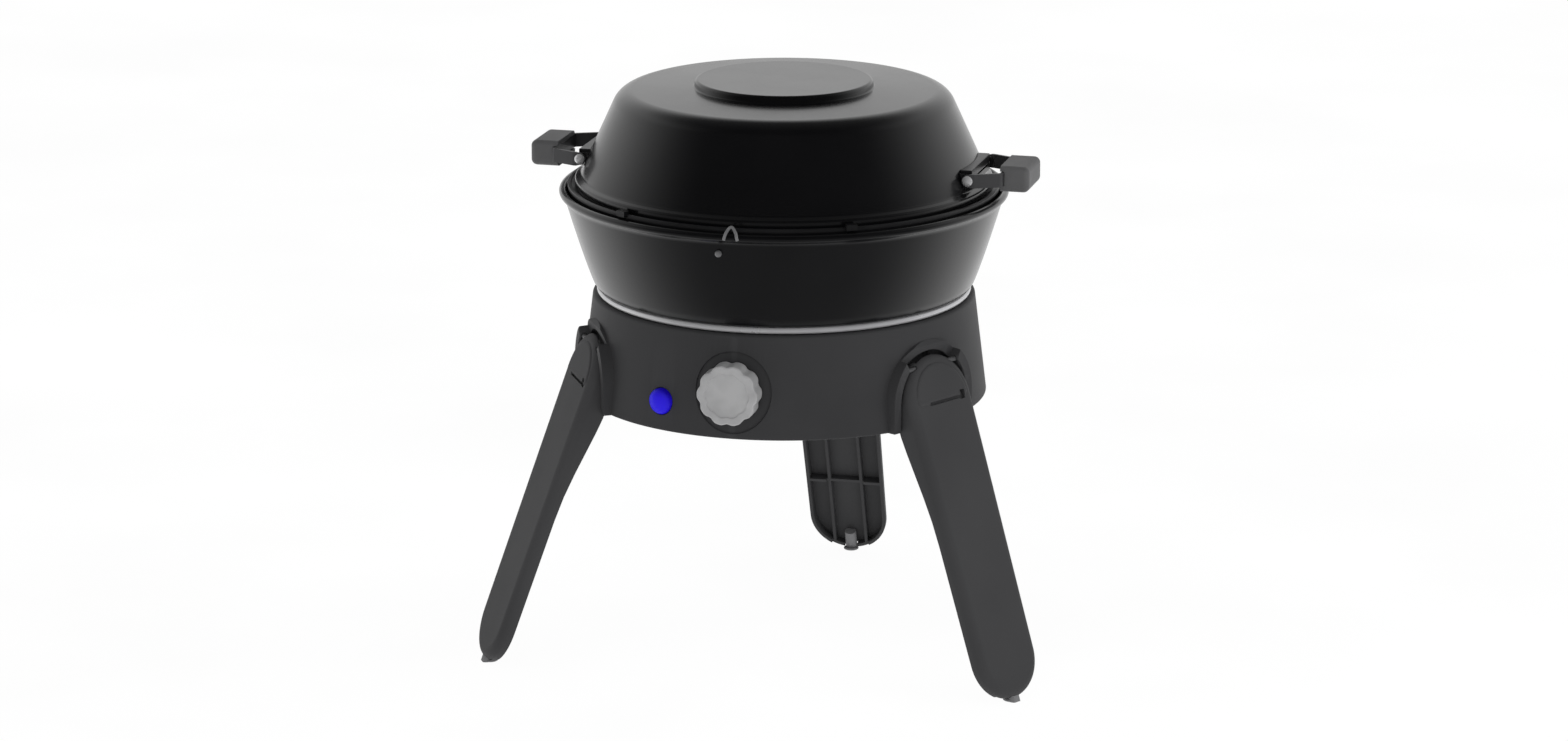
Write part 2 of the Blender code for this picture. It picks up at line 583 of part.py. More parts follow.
for k in range(6):
    cut(cover, f"vent_{k}", box((50, 92), (-3.5, 3.5), (180, 200)), rot=azimuth(60 * k))

# ------------------------------------------------------------------ heat shield
SHIELD_PROFILE = [(46.0, 258.0), (99.0, 258.0), (99.0, 250.0), (97.5, 250.0), (97.5, 256.5),
                  (46.0, 256.5)]
shield = turned("heat_shield", SHIELD_PROFILE, STEEL)
cut(shield, "shield_front", box((-24, 24), (-110, -84), (240, 257)))
cut(shield, "shield_pipe", rod(6, 60, 110, "X", 12), loc=(0, 0, 246), rot=azimuth(HOSE_AZ))

# ------------------------------------------------------------------ bowl screws
# from inside the bowl down through the housing's flange
seat_z = bowl_inner_z + GAP
BOWL_SCREW = [(0, seat_z + 2.4), (2.6, seat_z + 2.2), (4.2, seat_z + 0.8), (4.2, seat_z),
              (2.0, seat_z), (2.0, 257.0), (0, 257.0)]
for k, az in enumerate(BOWL_SCREW_AZ):
    turned(f"bowl_screw_{k + 1}", BOWL_SCREW, STEEL, 12, loc=around(BOWL_SCREW_R, az))

# ------------------------------------------------------------------ legs
LEG_SIDE = [                   # (out, along): deep below the pivot, slim below the knee
    (LEG_FACE + 1, 40), (LEG_FACE + 1, -260), (-6.8, -260), (-6.8, -110), (-8.4, -85),
    (-12.2, -63), (-15.8, -41), (-15.8, -11), (-12.8, -2), (-6.3, 5), (0, 9), (0, 40)]
TROUGHS_Y = ((-40, -RIB_Y - RIB_HALF), (-RIB_Y + RIB_HALF, RIB_Y - RIB_HALF), (RIB_Y + RIB_HALF, 40))
TROUGHS_Z = ((CROSS_RIB + RIB_HALF, 40.0), (-260.0, CROSS_RIB - RIB_HALF))


def leg(name):
    hinge = HINGE[name]
    at = dict(rot=(0, -LEG_LEAN, 0), parent=hinge)
    body = part(f"leg_{name}", plate(leg_outline(), LEG_FACE + 16, "YZ", -16),
                SHELL, smooth=False, **at)
    trim(body, f"leg_side_{name}", plate(LEG_SIDE, 80, "XZ", -40), **at)
    # the open back: three troughs between the side walls and two long ribs, split by a cross rib
    for k, y in enumerate(TROUGHS_Y):
        for j, z in enumerate(TROUGHS_Z):
            room = cutter(f"trough_{name}_{k}_{j}",
                          plate(leg_outline(LEG_RIM), 40, "YZ", LEG_FLOOR - 40), **at)
            trim(room, f"trough_box_{name}_{k}_{j}", box((-60, 10), y, z), **at)
            boolean(body, room)
    # ribs are lower than the walls, and stop short of the pin
    half = RIB_Y + RIB_HALF + 1
    low = [(-40, 30), (RIB_BACK, 30), (RIB_BACK, -260), (-40, -260)]
    cut(body, f"rib_low_{name}", plate(low, 2 * half, "XZ", -half), **at)
    cut(body, f"rib_top_{name}", box((-40, LEG_FLOOR), (-half, half), (-14, 40)), **at)
    cut(body, f"pin_way_{name}", rod(PIN_R + 0.3, -40, 40, "Y", 16), **at)
    # way for the foot peg through the tip
    way = PEG_R + 0.5
    cut(body, f"peg_way_{name}", box((-40, LEG_FLOOR), (-way, way), (-260, LEG_TIP + 15)), **at)

    part(f"leg_pin_{name}", rod(PIN_R, -PIN_HALF, PIN_HALF, "Y", 14), STEEL, parent=hinge)

    # the foot peg ends flat on the floor and clears the leg's skin
    lean = radians(LEG_LEAN)
    peg = part(f"foot_peg_{name}", rod(PEG_R, LEG_TIP - 12, LEG_TIP + 14, "Z", 14), PEG_GREY,
               loc=(PEG_OUT * cos(lean), 0, PEG_OUT * sin(lean)), **at)
    cut(peg, f"floor_{name}", box((-300, 300), (-300, 300), (-60, 0)))
    cut(peg, f"peg_back_{name}", box((LEG_FLOOR - GAP, 20), (-20, 20), (-275, -200)), **at)


for name in LEG_AZ:
    leg(name)


# ------------------------------------------------------------------ control knob
def lobed(radius, depth, lobes, per=4):
    """A round outline with shallow scallops between its lobes, per points to a lobe."""
    points = []
    for k in range(lobes * per):
        t = 2 * pi * k / (lobes * per)
        r = radius - depth * (0.5 - 0.5 * cos(lobes * t)) ** 2
        points.append((r * cos(t), r * sin(t)))
    return points


at = dict(parent=empty("knob_axis", (0, -KNOB_AXIS_R, KNOB_Z), parent=AXIS))
knob_outline = lobed(KNOB_R, LOBE_DEPTH, KNOB_LOBES)
knob = part("control_knob",
            plate(knob_outline, KNOB_FACE - KNOB_BACK, "XZ", -(KNOB_FACE - KNOB_AXIS_R)),
            ALUMINIUM, smooth=False, **at)
add(knob, "knob_hub", rod(7.0, -7.5, KNOB_AXIS_R - 142.7, "Y", 20), **at)
cut(knob, "knob_bore", rod(SPINDLE_BORE_R, -15.0, 4.0, "Y", 14), **at)
part("valve_spindle", rod(SPINDLE_R, -14.5, 12.0, "Y", 14), STEEL, **at)

# ------------------------------------------------------------------ valve and gas line
valve = part("gas_valve_body", rod(11.0, -125.5, JET_Y, "Y", 18), BRASS, **at_knob)
add(valve, "valve_block", box((-9, 9), (-118, -102), (-15, 9)), **at_knob)
add(valve, "valve_neck", rod(7.0, -131.5, -120.0, "Y", 16), **at_knob)
cut(valve, "valve_bore", rod(SPINDLE_BORE_R, -140.0, -110.0, "Y", 14), **at_knob)
cut(valve, "valve_out", rod(2.0, -112.0, -90.0, "Y", 12), **at_knob)

JET_PROFILE = [                # (radius, distance inwards from the valve's end)
    (0, 12.0), (1.0, 12.0), (3.6, 6.5), (3.6, 0.4), (1.7, 0.4), (1.7, -6.0), (0, -6.0)]
turned("gas_jet", JET_PROFILE, BRASS, 14, loc=(0, JET_Y, KNOB_Z), rot=(-90, 0, 0))

# gas pipe from the valve round the burner to the hose tail at the housing's left rear
PIPE_PATH = [
    (-12.0, -110, 226), (-30, -104, 227), (-62, -80, 227), (-84, -40, 226), (-94, 6, 226),
    (-99, 42, 226), around(125.5, HOSE_AZ, HOSE_Z)]
wire("gas_pipe", smooth_path(PIPE_PATH), 3.0, BRASS)
TAIL_PROFILE = [               # (radius, distance out): barbs, then the collar and the shank
    (0, 165), (3.6, 165), (4.7, 161.5), (3.8, 161), (4.9, 157), (3.8, 156.5), (5.0, 152),
    (4.0, 151.5), (4.0, 148.8), (8.4, 148.8), (8.4, 145.4), (5.2, 145.4), (5.2, 129), (0, 129)]
turned("hose_tail", TAIL_PROFILE, BRASS, 16, rot=outwards(HOSE_AZ), loc=(0, 0, HOSE_Z))

# ------------------------------------------------------------------ burner
VENTURI_PROFILE = [            # (radius, distance out)
    (7.4, 84.0), (10.5, 84.0), (10.5, 82.0), (8.2, 70.0), (8.2, 14.0), (6.6, 14.0), (6.6, 70.0)]
turned("venturi_tube", VENTURI_PROFILE, ALUMINIUM, 20, rot=outwards(0), **at_knob)
HEAD_PROFILE = [               # (radius, height)
    (24.0, 290.0), (31.5, 290.0), (31.5, 281.0), (27.0, 274.0), (12.4, 262.0), (12.4, 211.8),
    (0, 211.8), (0, 214.8), (9.4, 214.8), (9.4, 263.0), (24.0, 277.0)]
head = turned("burner_head", HEAD_PROFILE, ALUMINIUM, 28)
cut(head, "head_in", rod(8.8, -30, 0, "Y", 16), **at_knob)
CAP_PROFILE = [(0, 297.0), (27.0, 295.0), (33.0, 292.3), (33.0, 290.3), (22.0, 290.3),
               (22.0, 287.5), (0, 287.5)]
turned("burner_cap", CAP_PROFILE, CAP_BLACK, 28)

# a strip under the burner head, on two legs down to the cover
bracket = part("burner_bracket", box((-50, 50), (-8, 8), (208.8, 211.4)), STEEL, smooth=False)
for s in (1, -1):
    add(bracket, f"bracket_leg_{s}", box((s * 49 - 1.2, s * 49 + 1.2), (-8, 8), (194.4, 210.8)))

# ------------------------------------------------------------------ igniter
BUTTON_PROFILE = [             # (radius, distance out)
    (0, 151.0), (4.8, 150.5), (8.0, 148.9), (IGN_R, 146.2), (IGN_R, 138.2), (4.0, 138.2),
    (4.0, 133.0), (0, 133.0)]
turned("igniter_button", BUTTON_PROFILE, BLUE, 20, rot=outwards(IGN_AZ), loc=(0, 0, IGN_Z))
at = dict(loc=(0, 0, IGN_Z), rot=azimuth(IGN_AZ))
piezo = part("piezo_body", rod(9.0, 88.0, 131.0, "X", 18), PIEZO_BLACK, **at)
cut(piezo, "piezo_room", rod(4.5, 120.0, 140.0, "X", 14), **at)

LEAD_PATH = [
    around(87.2, IGN_AZ, IGN_Z), around(76, IGN_AZ, 207), (-12, -50, 204), (16, -36, 209),
    (ELEC_X, ELEC_Y, 236), (ELEC_X, ELEC_Y, 251.5)]
wire("ignition_lead", smooth_path(LEAD_PATH), 1.4, LEAD_BLACK)
INSULATOR_PROFILE = [
    (2.0, 284.0), (3.0, 283.0), (3.0, 262.0), (4.6, 261.0), (4.6, 255.0), (3.0, 254.0),
    (3.0, 252.0), (0, 252.0), (0, 256.0), (1.0, 256.0), (1.0, 284.0)]
turned("electrode_insulator", INSULATOR_PROFILE, CERAMIC, 14, loc=(ELEC_X, ELEC_Y, 0))
ELECTRODE_PATH = [(ELEC_X, ELEC_Y, 256.3), (ELEC_X, ELEC_Y, 289.0), (ELEC_X - 2.0, ELEC_Y + 1.2, 292.0)]
wire("spark_electrode", ELECTRODE_PATH, 0.7, STEEL, sides=0)
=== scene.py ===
"""A portable round grill: fine meshes and procedural materials over its CAD frame.

The grill stands on z = 0 with its axis along +Z, its knob towards -Y and a handle at each X end.
Azimuths are in degrees from -Y towards +X. Lengths are in millimetres until a mesh is made.
"""

import bpy
import bmesh
import json
from math import sin, cos, tan, pi, radians, degrees, atan2, acos
from mathutils import Matrix, Vector


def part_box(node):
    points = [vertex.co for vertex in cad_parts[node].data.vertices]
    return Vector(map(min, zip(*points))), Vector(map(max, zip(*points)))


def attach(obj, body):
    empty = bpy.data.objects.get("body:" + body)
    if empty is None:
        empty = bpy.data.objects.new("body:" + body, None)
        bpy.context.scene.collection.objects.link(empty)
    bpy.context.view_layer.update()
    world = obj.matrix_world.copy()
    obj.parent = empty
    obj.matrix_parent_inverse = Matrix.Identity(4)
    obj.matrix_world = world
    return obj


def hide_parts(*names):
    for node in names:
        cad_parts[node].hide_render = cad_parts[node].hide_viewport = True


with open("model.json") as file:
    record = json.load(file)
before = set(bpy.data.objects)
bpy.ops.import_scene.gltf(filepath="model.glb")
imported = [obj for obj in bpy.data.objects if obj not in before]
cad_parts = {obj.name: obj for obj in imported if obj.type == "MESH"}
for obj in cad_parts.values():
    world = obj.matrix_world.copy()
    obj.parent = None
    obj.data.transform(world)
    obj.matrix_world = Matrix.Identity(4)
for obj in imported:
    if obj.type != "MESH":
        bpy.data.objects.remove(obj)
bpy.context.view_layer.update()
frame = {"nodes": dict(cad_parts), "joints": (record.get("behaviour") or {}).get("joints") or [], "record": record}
JOINT = {j["name"]: j for j in frame["joints"]}
BODY = {n: b for b, ns in frame["record"]["behaviour"]["bodies"].items() for n in ns}
SLOT = {s["node"]: s["material_slot"] for s in frame["record"]["subparts"]}
MM = 0.001
GAP = 0.3                                               # clearance between neighbouring parts

lid_low, lid_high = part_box("lid")
AXIS = Matrix.Translation(((lid_low.x + lid_high.x) / 2, (lid_low.y + lid_high.y) / 2, 0))


# ------------------------------------------------------------------ outlines
def unit_circle(sides):
    return [(cos(2 * pi * k / sides), sin(2 * pi * k / sides)) for k in range(sides)]


def arc(cx, cy, r, start, end, n):
    angles = [radians(start + (end - start) * i / n) for i in range(n + 1)]
    return [(cx + r * cos(t), cy + r * sin(t)) for t in angles]


def fillet(points, closed=False, step=11.0):
    """Corners (x, y, radius) rounded, with a point about every step degrees; no radius is sharp."""
    out, n = [], len(points)
    for i, p in enumerate(points):
        r = p[2] if len(p) > 2 else 0
        if r <= 0 or (not closed and i in (0, n - 1)):
            out.append((p[0], p[1]))
            continue
        corner = Vector(p[:2])
        to_last = Vector(points[i - 1][:2]) - corner
        to_next = Vector(points[(i + 1) % n][:2]) - corner
        limit = 0.48 * min(to_last.length, to_next.length)
        to_last.normalize()
        to_next.normalize()
        bend = pi - acos(max(-1.0, min(1.0, to_last.dot(to_next))))
        if bend < 0.02:
            out.append((p[0], p[1]))
            continue
        reach = r * tan(bend / 2)
        if reach > limit:
            r, reach = r * limit / reach, limit
        centre = corner + (to_last + to_next).normalized() * (r / cos(bend / 2))
        first = corner + to_last * reach - centre
        last = corner + to_next * reach - centre
        start = atan2(first.y, first.x)
        sweep = (atan2(last.y, last.x) - start + pi) % (2 * pi) - pi
        k = max(2, int(abs(degrees(sweep)) / step) + 1)
        angles = [start + sweep * j / k for j in range(k + 1)]
        out += [(centre.x + r * cos(t), centre.y + r * sin(t)) for t in angles]
    return out


# ------------------------------------------------------------------ closed meshes
def closed_mesh(bm):
    mesh = bpy.data.meshes.new("m")
    bmesh.ops.recalc_face_normals(bm, faces=bm.faces)
    if bm.calc_volume(signed=True) < 0:
        bmesh.ops.reverse_faces(bm, faces=bm.faces)
    bm.to_mesh(mesh)
    bm.free()
    return mesh


def lathe(profile, steps=192):
    """A profile of (radius, height), open at the axis or closed into a ring, turned about Z."""
    bm = bmesh.new()
    rings = []
    for r, z in profile:
        circle = [(0, 0)] if r < 1e-9 else unit_circle(steps)
        rings.append([bm.verts.new((r * x * MM, r * y * MM, z * MM)) for x, y in circle])
    pairs = list(zip(rings, rings[1:]))
    if not (profile[0][0] < 1e-9 and profile[-1][0] < 1e-9):
        pairs.append((rings[-1], rings[0]))
    for a, b in pairs:
        if len(a) == 1 and len(b) == 1:
            continue
        for k in range(steps):
            k2 = (k + 1) % steps
            if len(a) == 1:
                bm.faces.new((a[0], b[k], b[k2]))
            elif len(b) == 1:
                bm.faces.new((a[k], b[0], a[k2]))
            else:
                bm.faces.new((a[k], b[k], b[k2], a[k2]))
    return closed_mesh(bm)


def slab(outline, h0, h1, plane="XY", second=None):
    """A flat outline with a thickness, or a loft from outline at h0 to second at h1."""
    def at(a, b, h):
        return [v * MM for v in {"XY": (a, b, h), "YZ": (h, a, b), "XZ": (a, h, b)}[plane]]
    bm = bmesh.new()
    low = [bm.verts.new(at(a, b, h0)) for a, b in outline]
    top = [bm.verts.new(at(a, b, h1)) for a, b in (second or outline)]
    bm.faces.new(low)
    bm.faces.new(top[::-1])
    for i in range(len(low)):
        j = (i + 1) % len(low)
        bm.faces.new((low[i], top[i], top[j], low[j]))
    return closed_mesh(bm)


def block(x0, x1, y0, y1, z0, z1):
    return slab([(x0, y0), (x1, y0), (x1, y1), (x0, y1)], z0, z1)


def rod(r, h0, h1, axis="Z", sides=40):
    plane = {"Z": "XY", "X": "YZ", "Y": "XZ"}[axis]
    return slab([(r * x, r * y) for x, y in unit_circle(sides)], h0, h1, plane)


def loft(sections):
    """A closed solid through sections, which are equally long loops of (x, y, z)."""
    bm = bmesh.new()
    loops = [[bm.verts.new([v * MM for v in point]) for point in loop] for loop in sections]
    n = len(loops[0])
    for p, q in zip(loops, loops[1:]):
        for k in range(n):
            bm.faces.new((p[k], p[(k + 1) % n], q[(k + 1) % n], q[k]))
    bm.faces.new(loops[0])
    bm.faces.new(loops[-1])
    return closed_mesh(bm)


def tube(points, r, steps, sides=14):
    """A wire bent smoothly through points (a Catmull-Rom curve)."""
    p = [Vector(q) for q in points]
    p = [p[0] * 2 - p[1]] + p + [p[-1] * 2 - p[-2]]
    path = []
    for i in range(1, len(p) - 2):
        a, b, c, d = p[i - 1:i + 3]
        for k in range(steps):
            t = k / steps
            path.append(0.5 * ((2 * b) + (c - a) * t + (2 * a - 5 * b + 4 * c - d) * t * t
                               + (3 * b - a - 3 * c + d) * t ** 3))
    path.append(p[-2])
    sections, up = [], None
    for i, q in enumerate(path):
        along = (path[min(i + 1, len(path) - 1)] - path[max(i - 1, 0)]).normalized()
        if up is None:
            up = along.orthogonal().normalized()
        up = (up - along * up.dot(along)).normalized()
        across = along.cross(up)
        sections.append([q + (up * x + across * y) * r for x, y in unit_circle(sides)])
    return loft(sections)


# ------------------------------------------------------------------ placing
def turn(axis, deg):
    return Matrix.Rotation(radians(deg), 4, axis)


def shift(x, y, z):
    return Matrix.Translation((x * MM, y * MM, z * MM))


def azimuth(az):
    """Local +X points outward at this azimuth."""
    return turn("Z", az - 90)


def outward(az, z):
    """Local +Z points outward at this azimuth, from height z on the axis."""
    return shift(0, 0, z) @ turn("Z", az) @ turn("X", 90)


def around(r, az):
    return shift(r * sin(radians(az)), -r * cos(radians(az)), 0)


# ------------------------------------------------------------------ objects and modifiers
def thing(name, mesh, at=None):
    piece = bpy.data.objects.new(name, mesh)
    bpy.context.scene.collection.objects.link(piece)
    piece.matrix_world = AXIS @ (at or Matrix.Identity(4))
    return piece


TOOLS = []


def tool(mesh, at=None):
    """A solid used only in booleans, removed at the end."""
    piece = thing("tool", mesh, at)
    piece.hide_render = True
    TOOLS.append(piece)
    return piece


def combine(piece, other, how):
    m = piece.modifiers.new("cut", "BOOLEAN")
    m.operation, m.solver, m.object = how, "EXACT", other


def carve(piece, mesh, at=None):
    combine(piece, tool(mesh, at), "DIFFERENCE")


def join(piece, mesh, at=None):
    combine(piece, tool(mesh, at), "UNION")


def keep_inside(piece, mesh, at=None):
    combine(piece, tool(mesh, at), "INTERSECT")


def bevel(piece, width, segments, angle=35):
    m = piece.modifiers.new("edges", "BEVEL")
    m.width, m.segments = width * MM, segments
    m.limit_method, m.angle_limit = "ANGLE", radians(angle)
    m.miter_outer = "MITER_ARC"


def bake(piece):
    """Makes the modifiers real, so that the tools can go."""
    bpy.context.view_layer.update()
    evaluated = piece.evaluated_get(bpy.context.evaluated_depsgraph_get())
    mesh = bpy.data.meshes.new_from_object(evaluated)
    piece.modifiers.clear()
    piece.data = mesh


def finish(piece, cad_node, material, sharp=34, weighted=True):
    """Smooth shading, the material, the body, and the CAD node the piece stands for."""
    if piece.modifiers:
        bake(piece)
    mesh = piece.data
    mesh.transform(piece.matrix_world)
    piece.matrix_world = Matrix.Identity(4)
    mesh.materials.clear()
    mesh.materials.append(material)
    mesh.shade_smooth()
    mesh.set_sharp_from_angle(angle=radians(sharp))
    if weighted:
        m = piece.modifiers.new("normals", "WEIGHTED_NORMAL")
        m.keep_sharp, m.weight = True, 60
    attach(piece, BODY[cad_node])
    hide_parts(cad_node)


# ------------------------------------------------------------------ shader nodes
def set_up(nt, target, values):
    """Fills sockets and settings of a node; an output given as a value is linked."""
    for key, value in values.items():
        if isinstance(key, str) and key not in target.inputs:
            setattr(target, key, value)
        elif isinstance(value, bpy.types.NodeSocket):
            nt.links.new(value, target.inputs[key])
        else:
            target.inputs[key].default_value = value


def node(nt, kind, values=None):
    n = nt.nodes.new("ShaderNode" + kind)
    set_up(nt, n, values or {})
    return n


def new_material(name):
    material = bpy.data.materials.new(name)
    material.use_nodes = True
    return material, material.node_tree, material.node_tree.nodes["Principled BSDF"]


def calc(nt, operation, a, b):
    return node(nt, "Math", {"operation": operation, 0: a, 1: b}).outputs[0]


def noise(nt, scale, detail, rough=0.5):
    place = node(nt, "TexCoord").outputs["Object"]
    return node(nt, "TexNoise", {"Scale": scale, "Detail": detail, "Roughness": rough,
                                 "Vector": place}).outputs["Fac"]


def ramp(nt, fac, dark, light, start=0.35, end=0.65):
    r = node(nt, "ValToRGB", {"Fac": fac})
    for stop, position, colour in zip(r.color_ramp.elements, (start, end), (dark, light)):
        stop.position, stop.color = position, (*colour, 1)
    return r.outputs["Color"]


def remap(nt, value, low, high, start=0.0, end=1.0, kind="LINEAR"):
    """Carries start..end over to low..high."""
    return node(nt, "MapRange", {
        "interpolation_type": kind, "Value": value, "From Min": start, "From Max": end,
        "To Min": low, "To Max": high}).outputs["Result"]


def bumps(nt, bsdf, heights, edge=0.0):
    """Stacked bumps (height, strength, distance), on normals rounded over edge millimetres."""
    last = None
    if edge:
        last = node(nt, "Bevel", {"samples": 4, "Radius": edge * MM}).outputs["Normal"]
    for height, strength, distance in heights:
        n = node(nt, "Bump", {"Strength": strength, "Distance": distance, "Height": height})
        if last:
            nt.links.new(last, n.inputs["Normal"])
        last = n.outputs["Normal"]
    nt.links.new(last, bsdf.inputs["Normal"])


# ------------------------------------------------------------------ materials
def surface(name, dark, light, rough, metal=0.0, coat=0.0, coat_rough=0.1, grain=600.0,
            grain_bump=0.1, wave=12.0, edge=0.0, spec=0.5, wear=0.0, wear_rgb=None, broad=0.0):
    """Slow colour and roughness drift (wave), fine grain, and optional worn edges.

    grain and wave are noise scales; broad is the strength of a slow swell in the surface.
    """
    material, nt, bsdf = new_material(name)
    slow = noise(nt, wave, 3.0)
    fine = noise(nt, grain, 2.0, 0.6)
    colour = ramp(nt, slow, dark, light)
    if wear:
        pointed = node(nt, "NewGeometry").outputs["Pointiness"]
        amount = calc(nt, "MULTIPLY", remap(nt, pointed, 0.0, 1.0, start=0.52, end=0.60), wear)
        # sockets 0, 6 and 7 are the factor and the two colours
        colour = node(nt, "Mix", {"data_type": "RGBA", 0: amount, 6: colour,
                                  7: (*wear_rgb, 1)}).outputs[2]
    set_up(nt, bsdf, {
        "Base Color": colour, "Roughness": remap(nt, noise(nt, wave * 4, 4.0), *rough),
        "Metallic": metal, "Coat Weight": coat, "Coat Roughness": coat_rough,
        "Specular IOR Level": spec})
    heights = [(fine, grain_bump, 0.0004)]
    if broad:
        heights.append((noise(nt, 38.0, 2.0), broad, 0.002))
    bumps(nt, bsdf, heights, edge)
    return material


ENAMEL = surface("black_vitreous_enamel", dark=(0.0026, 0.0026, 0.0030),
                 light=(0.0042, 0.0042, 0.0048), rough=(0.20, 0.26), grain=520, grain_bump=0.005,
                 wave=9, spec=0.46, coat=0.2, coat_rough=0.12, broad=0.004)
PLATE = surface("plate_coating", dark=(0.006, 0.006, 0.0065), light=(0.010, 0.010, 0.011),
                rough=(0.34, 0.46), grain=900, wave=20, edge=0.4)
PLASTIC = surface("charcoal_plastic", dark=(0.041, 0.041, 0.043), light=(0.047, 0.047, 0.049),
                  rough=(0.52, 0.6), grain=1500, grain_bump=0.16, wave=10, edge=0.9, spec=0.2,
                  wear=0.25, wear_rgb=(0.075, 0.075, 0.078))
LEG = surface("leg_plastic", dark=(0.050, 0.050, 0.052), light=(0.057, 0.057, 0.059),
              rough=(0.55, 0.65), grain=1500, grain_bump=0.16, wave=10, edge=0.8, spec=0.14,
              wear=0.2, wear_rgb=(0.085, 0.085, 0.088))
PEG = surface("grey_rubber", dark=(0.16, 0.16, 0.165), light=(0.21, 0.21, 0.215),
              rough=(0.7, 0.8), grain=900, grain_bump=0.3, wave=60, edge=0.5, spec=0.3)
RING = surface("bright_ring", dark=(0.58, 0.58, 0.60), light=(0.68, 0.68, 0.69),
               rough=(0.22, 0.30), metal=0.45, grain=700, grain_bump=0.03, wave=14)
KNOB = surface("silver_knob", dark=(0.40, 0.40, 0.405), light=(0.47, 0.47, 0.475),
               rough=(0.36, 0.46), metal=0.15, grain=1600, grain_bump=0.06, wave=70, edge=0.7)
GRIP = surface("grip_plastic", dark=(0.085, 0.085, 0.087), light=(0.11, 0.11, 0.112),
               rough=(0.45, 0.55), grain=1300, grain_bump=0.25, wave=30, edge=0.6, spec=0.35,
               wear=0.3, wear_rgb=(0.17, 0.17, 0.175))
STRIP = surface("dark_strip", dark=(0.034, 0.034, 0.036), light=(0.05, 0.05, 0.052),
                rough=(0.34, 0.46), metal=0.35, grain=900, grain_bump=0.12, wave=30, edge=0.3,
                wear=0.4, wear_rgb=(0.16, 0.16, 0.165))
BRACKET = surface("black_bracket", dark=(0.006, 0.006, 0.007), light=(0.010, 0.010, 0.011),
                  rough=(0.3, 0.42), grain=900, wave=40, edge=0.3)
RIVET = surface("bright_rivet", dark=(0.8, 0.8, 0.81), light=(0.9, 0.9, 0.91),
                rough=(0.16, 0.26), metal=0.6, grain=1200, grain_bump=0.05, wave=80)
STEEL = surface("zinc_steel", dark=(0.45, 0.45, 0.46), light=(0.60, 0.60, 0.60),
                rough=(0.26, 0.42), metal=0.8, grain=800, grain_bump=0.08, wave=40, edge=0.3)
CLIP = surface("grey_wire", dark=(0.20, 0.20, 0.205), light=(0.28, 0.28, 0.285),
               rough=(0.3, 0.4), metal=0.4, grain=900, grain_bump=0.08, wave=60)
BRASS = surface("brass", dark=(0.55, 0.38, 0.16), light=(0.72, 0.52, 0.25),
                rough=(0.24, 0.4), metal=0.8, grain=700, grain_bump=0.06, wave=50, edge=0.3)
CAST = surface("cast_aluminium", dark=(0.42, 0.42, 0.43), light=(0.58, 0.58, 0.59),
               rough=(0.4, 0.55), metal=0.7, grain=800, grain_bump=0.3, wave=40, edge=0.6)
CAP = surface("burner_enamel", dark=(0.01, 0.01, 0.01), light=(0.02, 0.02, 0.02),
              rough=(0.4, 0.55), grain=900, grain_bump=0.15, wave=40, edge=0.5)
SATIN = surface("satin_black", dark=(0.012, 0.012, 0.013), light=(0.02, 0.02, 0.021),
                rough=(0.3, 0.42), grain=1100, wave=60, edge=0.3)
CERAMIC = surface("glazed_ceramic", dark=(0.72, 0.70, 0.65), light=(0.82, 0.80, 0.76),
                  rough=(0.1, 0.2), coat=0.4, grain_bump=0.04, wave=60)


def blue_button_painted_shade():
    """Blue plastic with painted shade: darker where it faces up, lighter where it faces sideways or down."""
    material, nt, bsdf = new_material("blue_button_painted_shade")
    normal = node(nt, "NewGeometry").outputs["Normal"]
    up = node(nt, "SeparateXYZ", {"Vector": normal}).outputs["Z"]
    # painted shade: the normal's height picks a darker blue on upward faces
    colour = ramp(nt, remap(nt, up, low=1.0, high=0.0), dark=(0.012, 0.003, 0.55),
                  light=(0.022, 0.008, 0.78), start=0.25, end=0.75)
    fine = noise(nt, scale=900, detail=2.0)
    rough = remap(nt, noise(nt, scale=200, detail=2.0), low=0.28, high=0.38)
    set_up(nt, bsdf, {"Base Color": colour, "Roughness": rough, "Specular IOR Level": 0.2})
    bumps(nt, bsdf, [(fine, 0.04, 0.0003)], edge=0.5)
    return material


BLUE = blue_button_painted_shade()

# ------------------------------------------------------------------ lid
LID_TOP, LID_DISC_R, LID_DISC_TOP = 411.4, 64.5, 419.0  # the disc is raised on the lid's top
# (radius, height, corner radius), outside downwards and inside upwards
LID_OUT = fillet([
    (0, LID_DISC_TOP), (LID_DISC_R - 0.7, LID_DISC_TOP, 2.4), (LID_DISC_R + 0.2, LID_TOP + 2.2, 1.2),
    (118.9, LID_TOP, 16.0), (138.0, 369.5, 60.0), (146.6, 350.4, 3.0), (151.0, 348.4, 2.2),
    (151.0, 343.0)], step=6)
LID_IN = fillet([
    (149.4, 343.0), (149.2, 346.0, 1.2), (145.2, 348.4, 3.0), (136.2, 369.0, 60.0),
    (117.6, 409.5, 14.4), (64.0, 409.5, 1.2), (62.4, 417.2, 1.2), (0, 417.2)], step=9)
finish(thing("fine_lid", lathe(LID_OUT + LID_IN, 256)), "lid", ENAMEL, sharp=50)

# ------------------------------------------------------------------ lid handles
HANDLE_X, HANDLE_Z = 143.5, 359.0                       # the rivets' axis
ARM_Y, ARM_Y1, ARM_T, ARM_H = 35.5, 27.6, 2.0, 10.0     # strap: half widths, thickness, height
BAR_X = 23.5                                            # the strap's outer face, from the rivets
GRIP_X0, GRIP_X1, GRIP_L, GRIP_Z0, GRIP_Z1 = 20.6, 41.5, 44.0, -9.8, 8.8
EAR_Y, EAR_T = ARM_Y - ARM_T - GAP, 3.4                 # bracket ears, just inside the strap
RIVET_HOLE_R = 2.2
RIVET_HEAD_R = 4.4


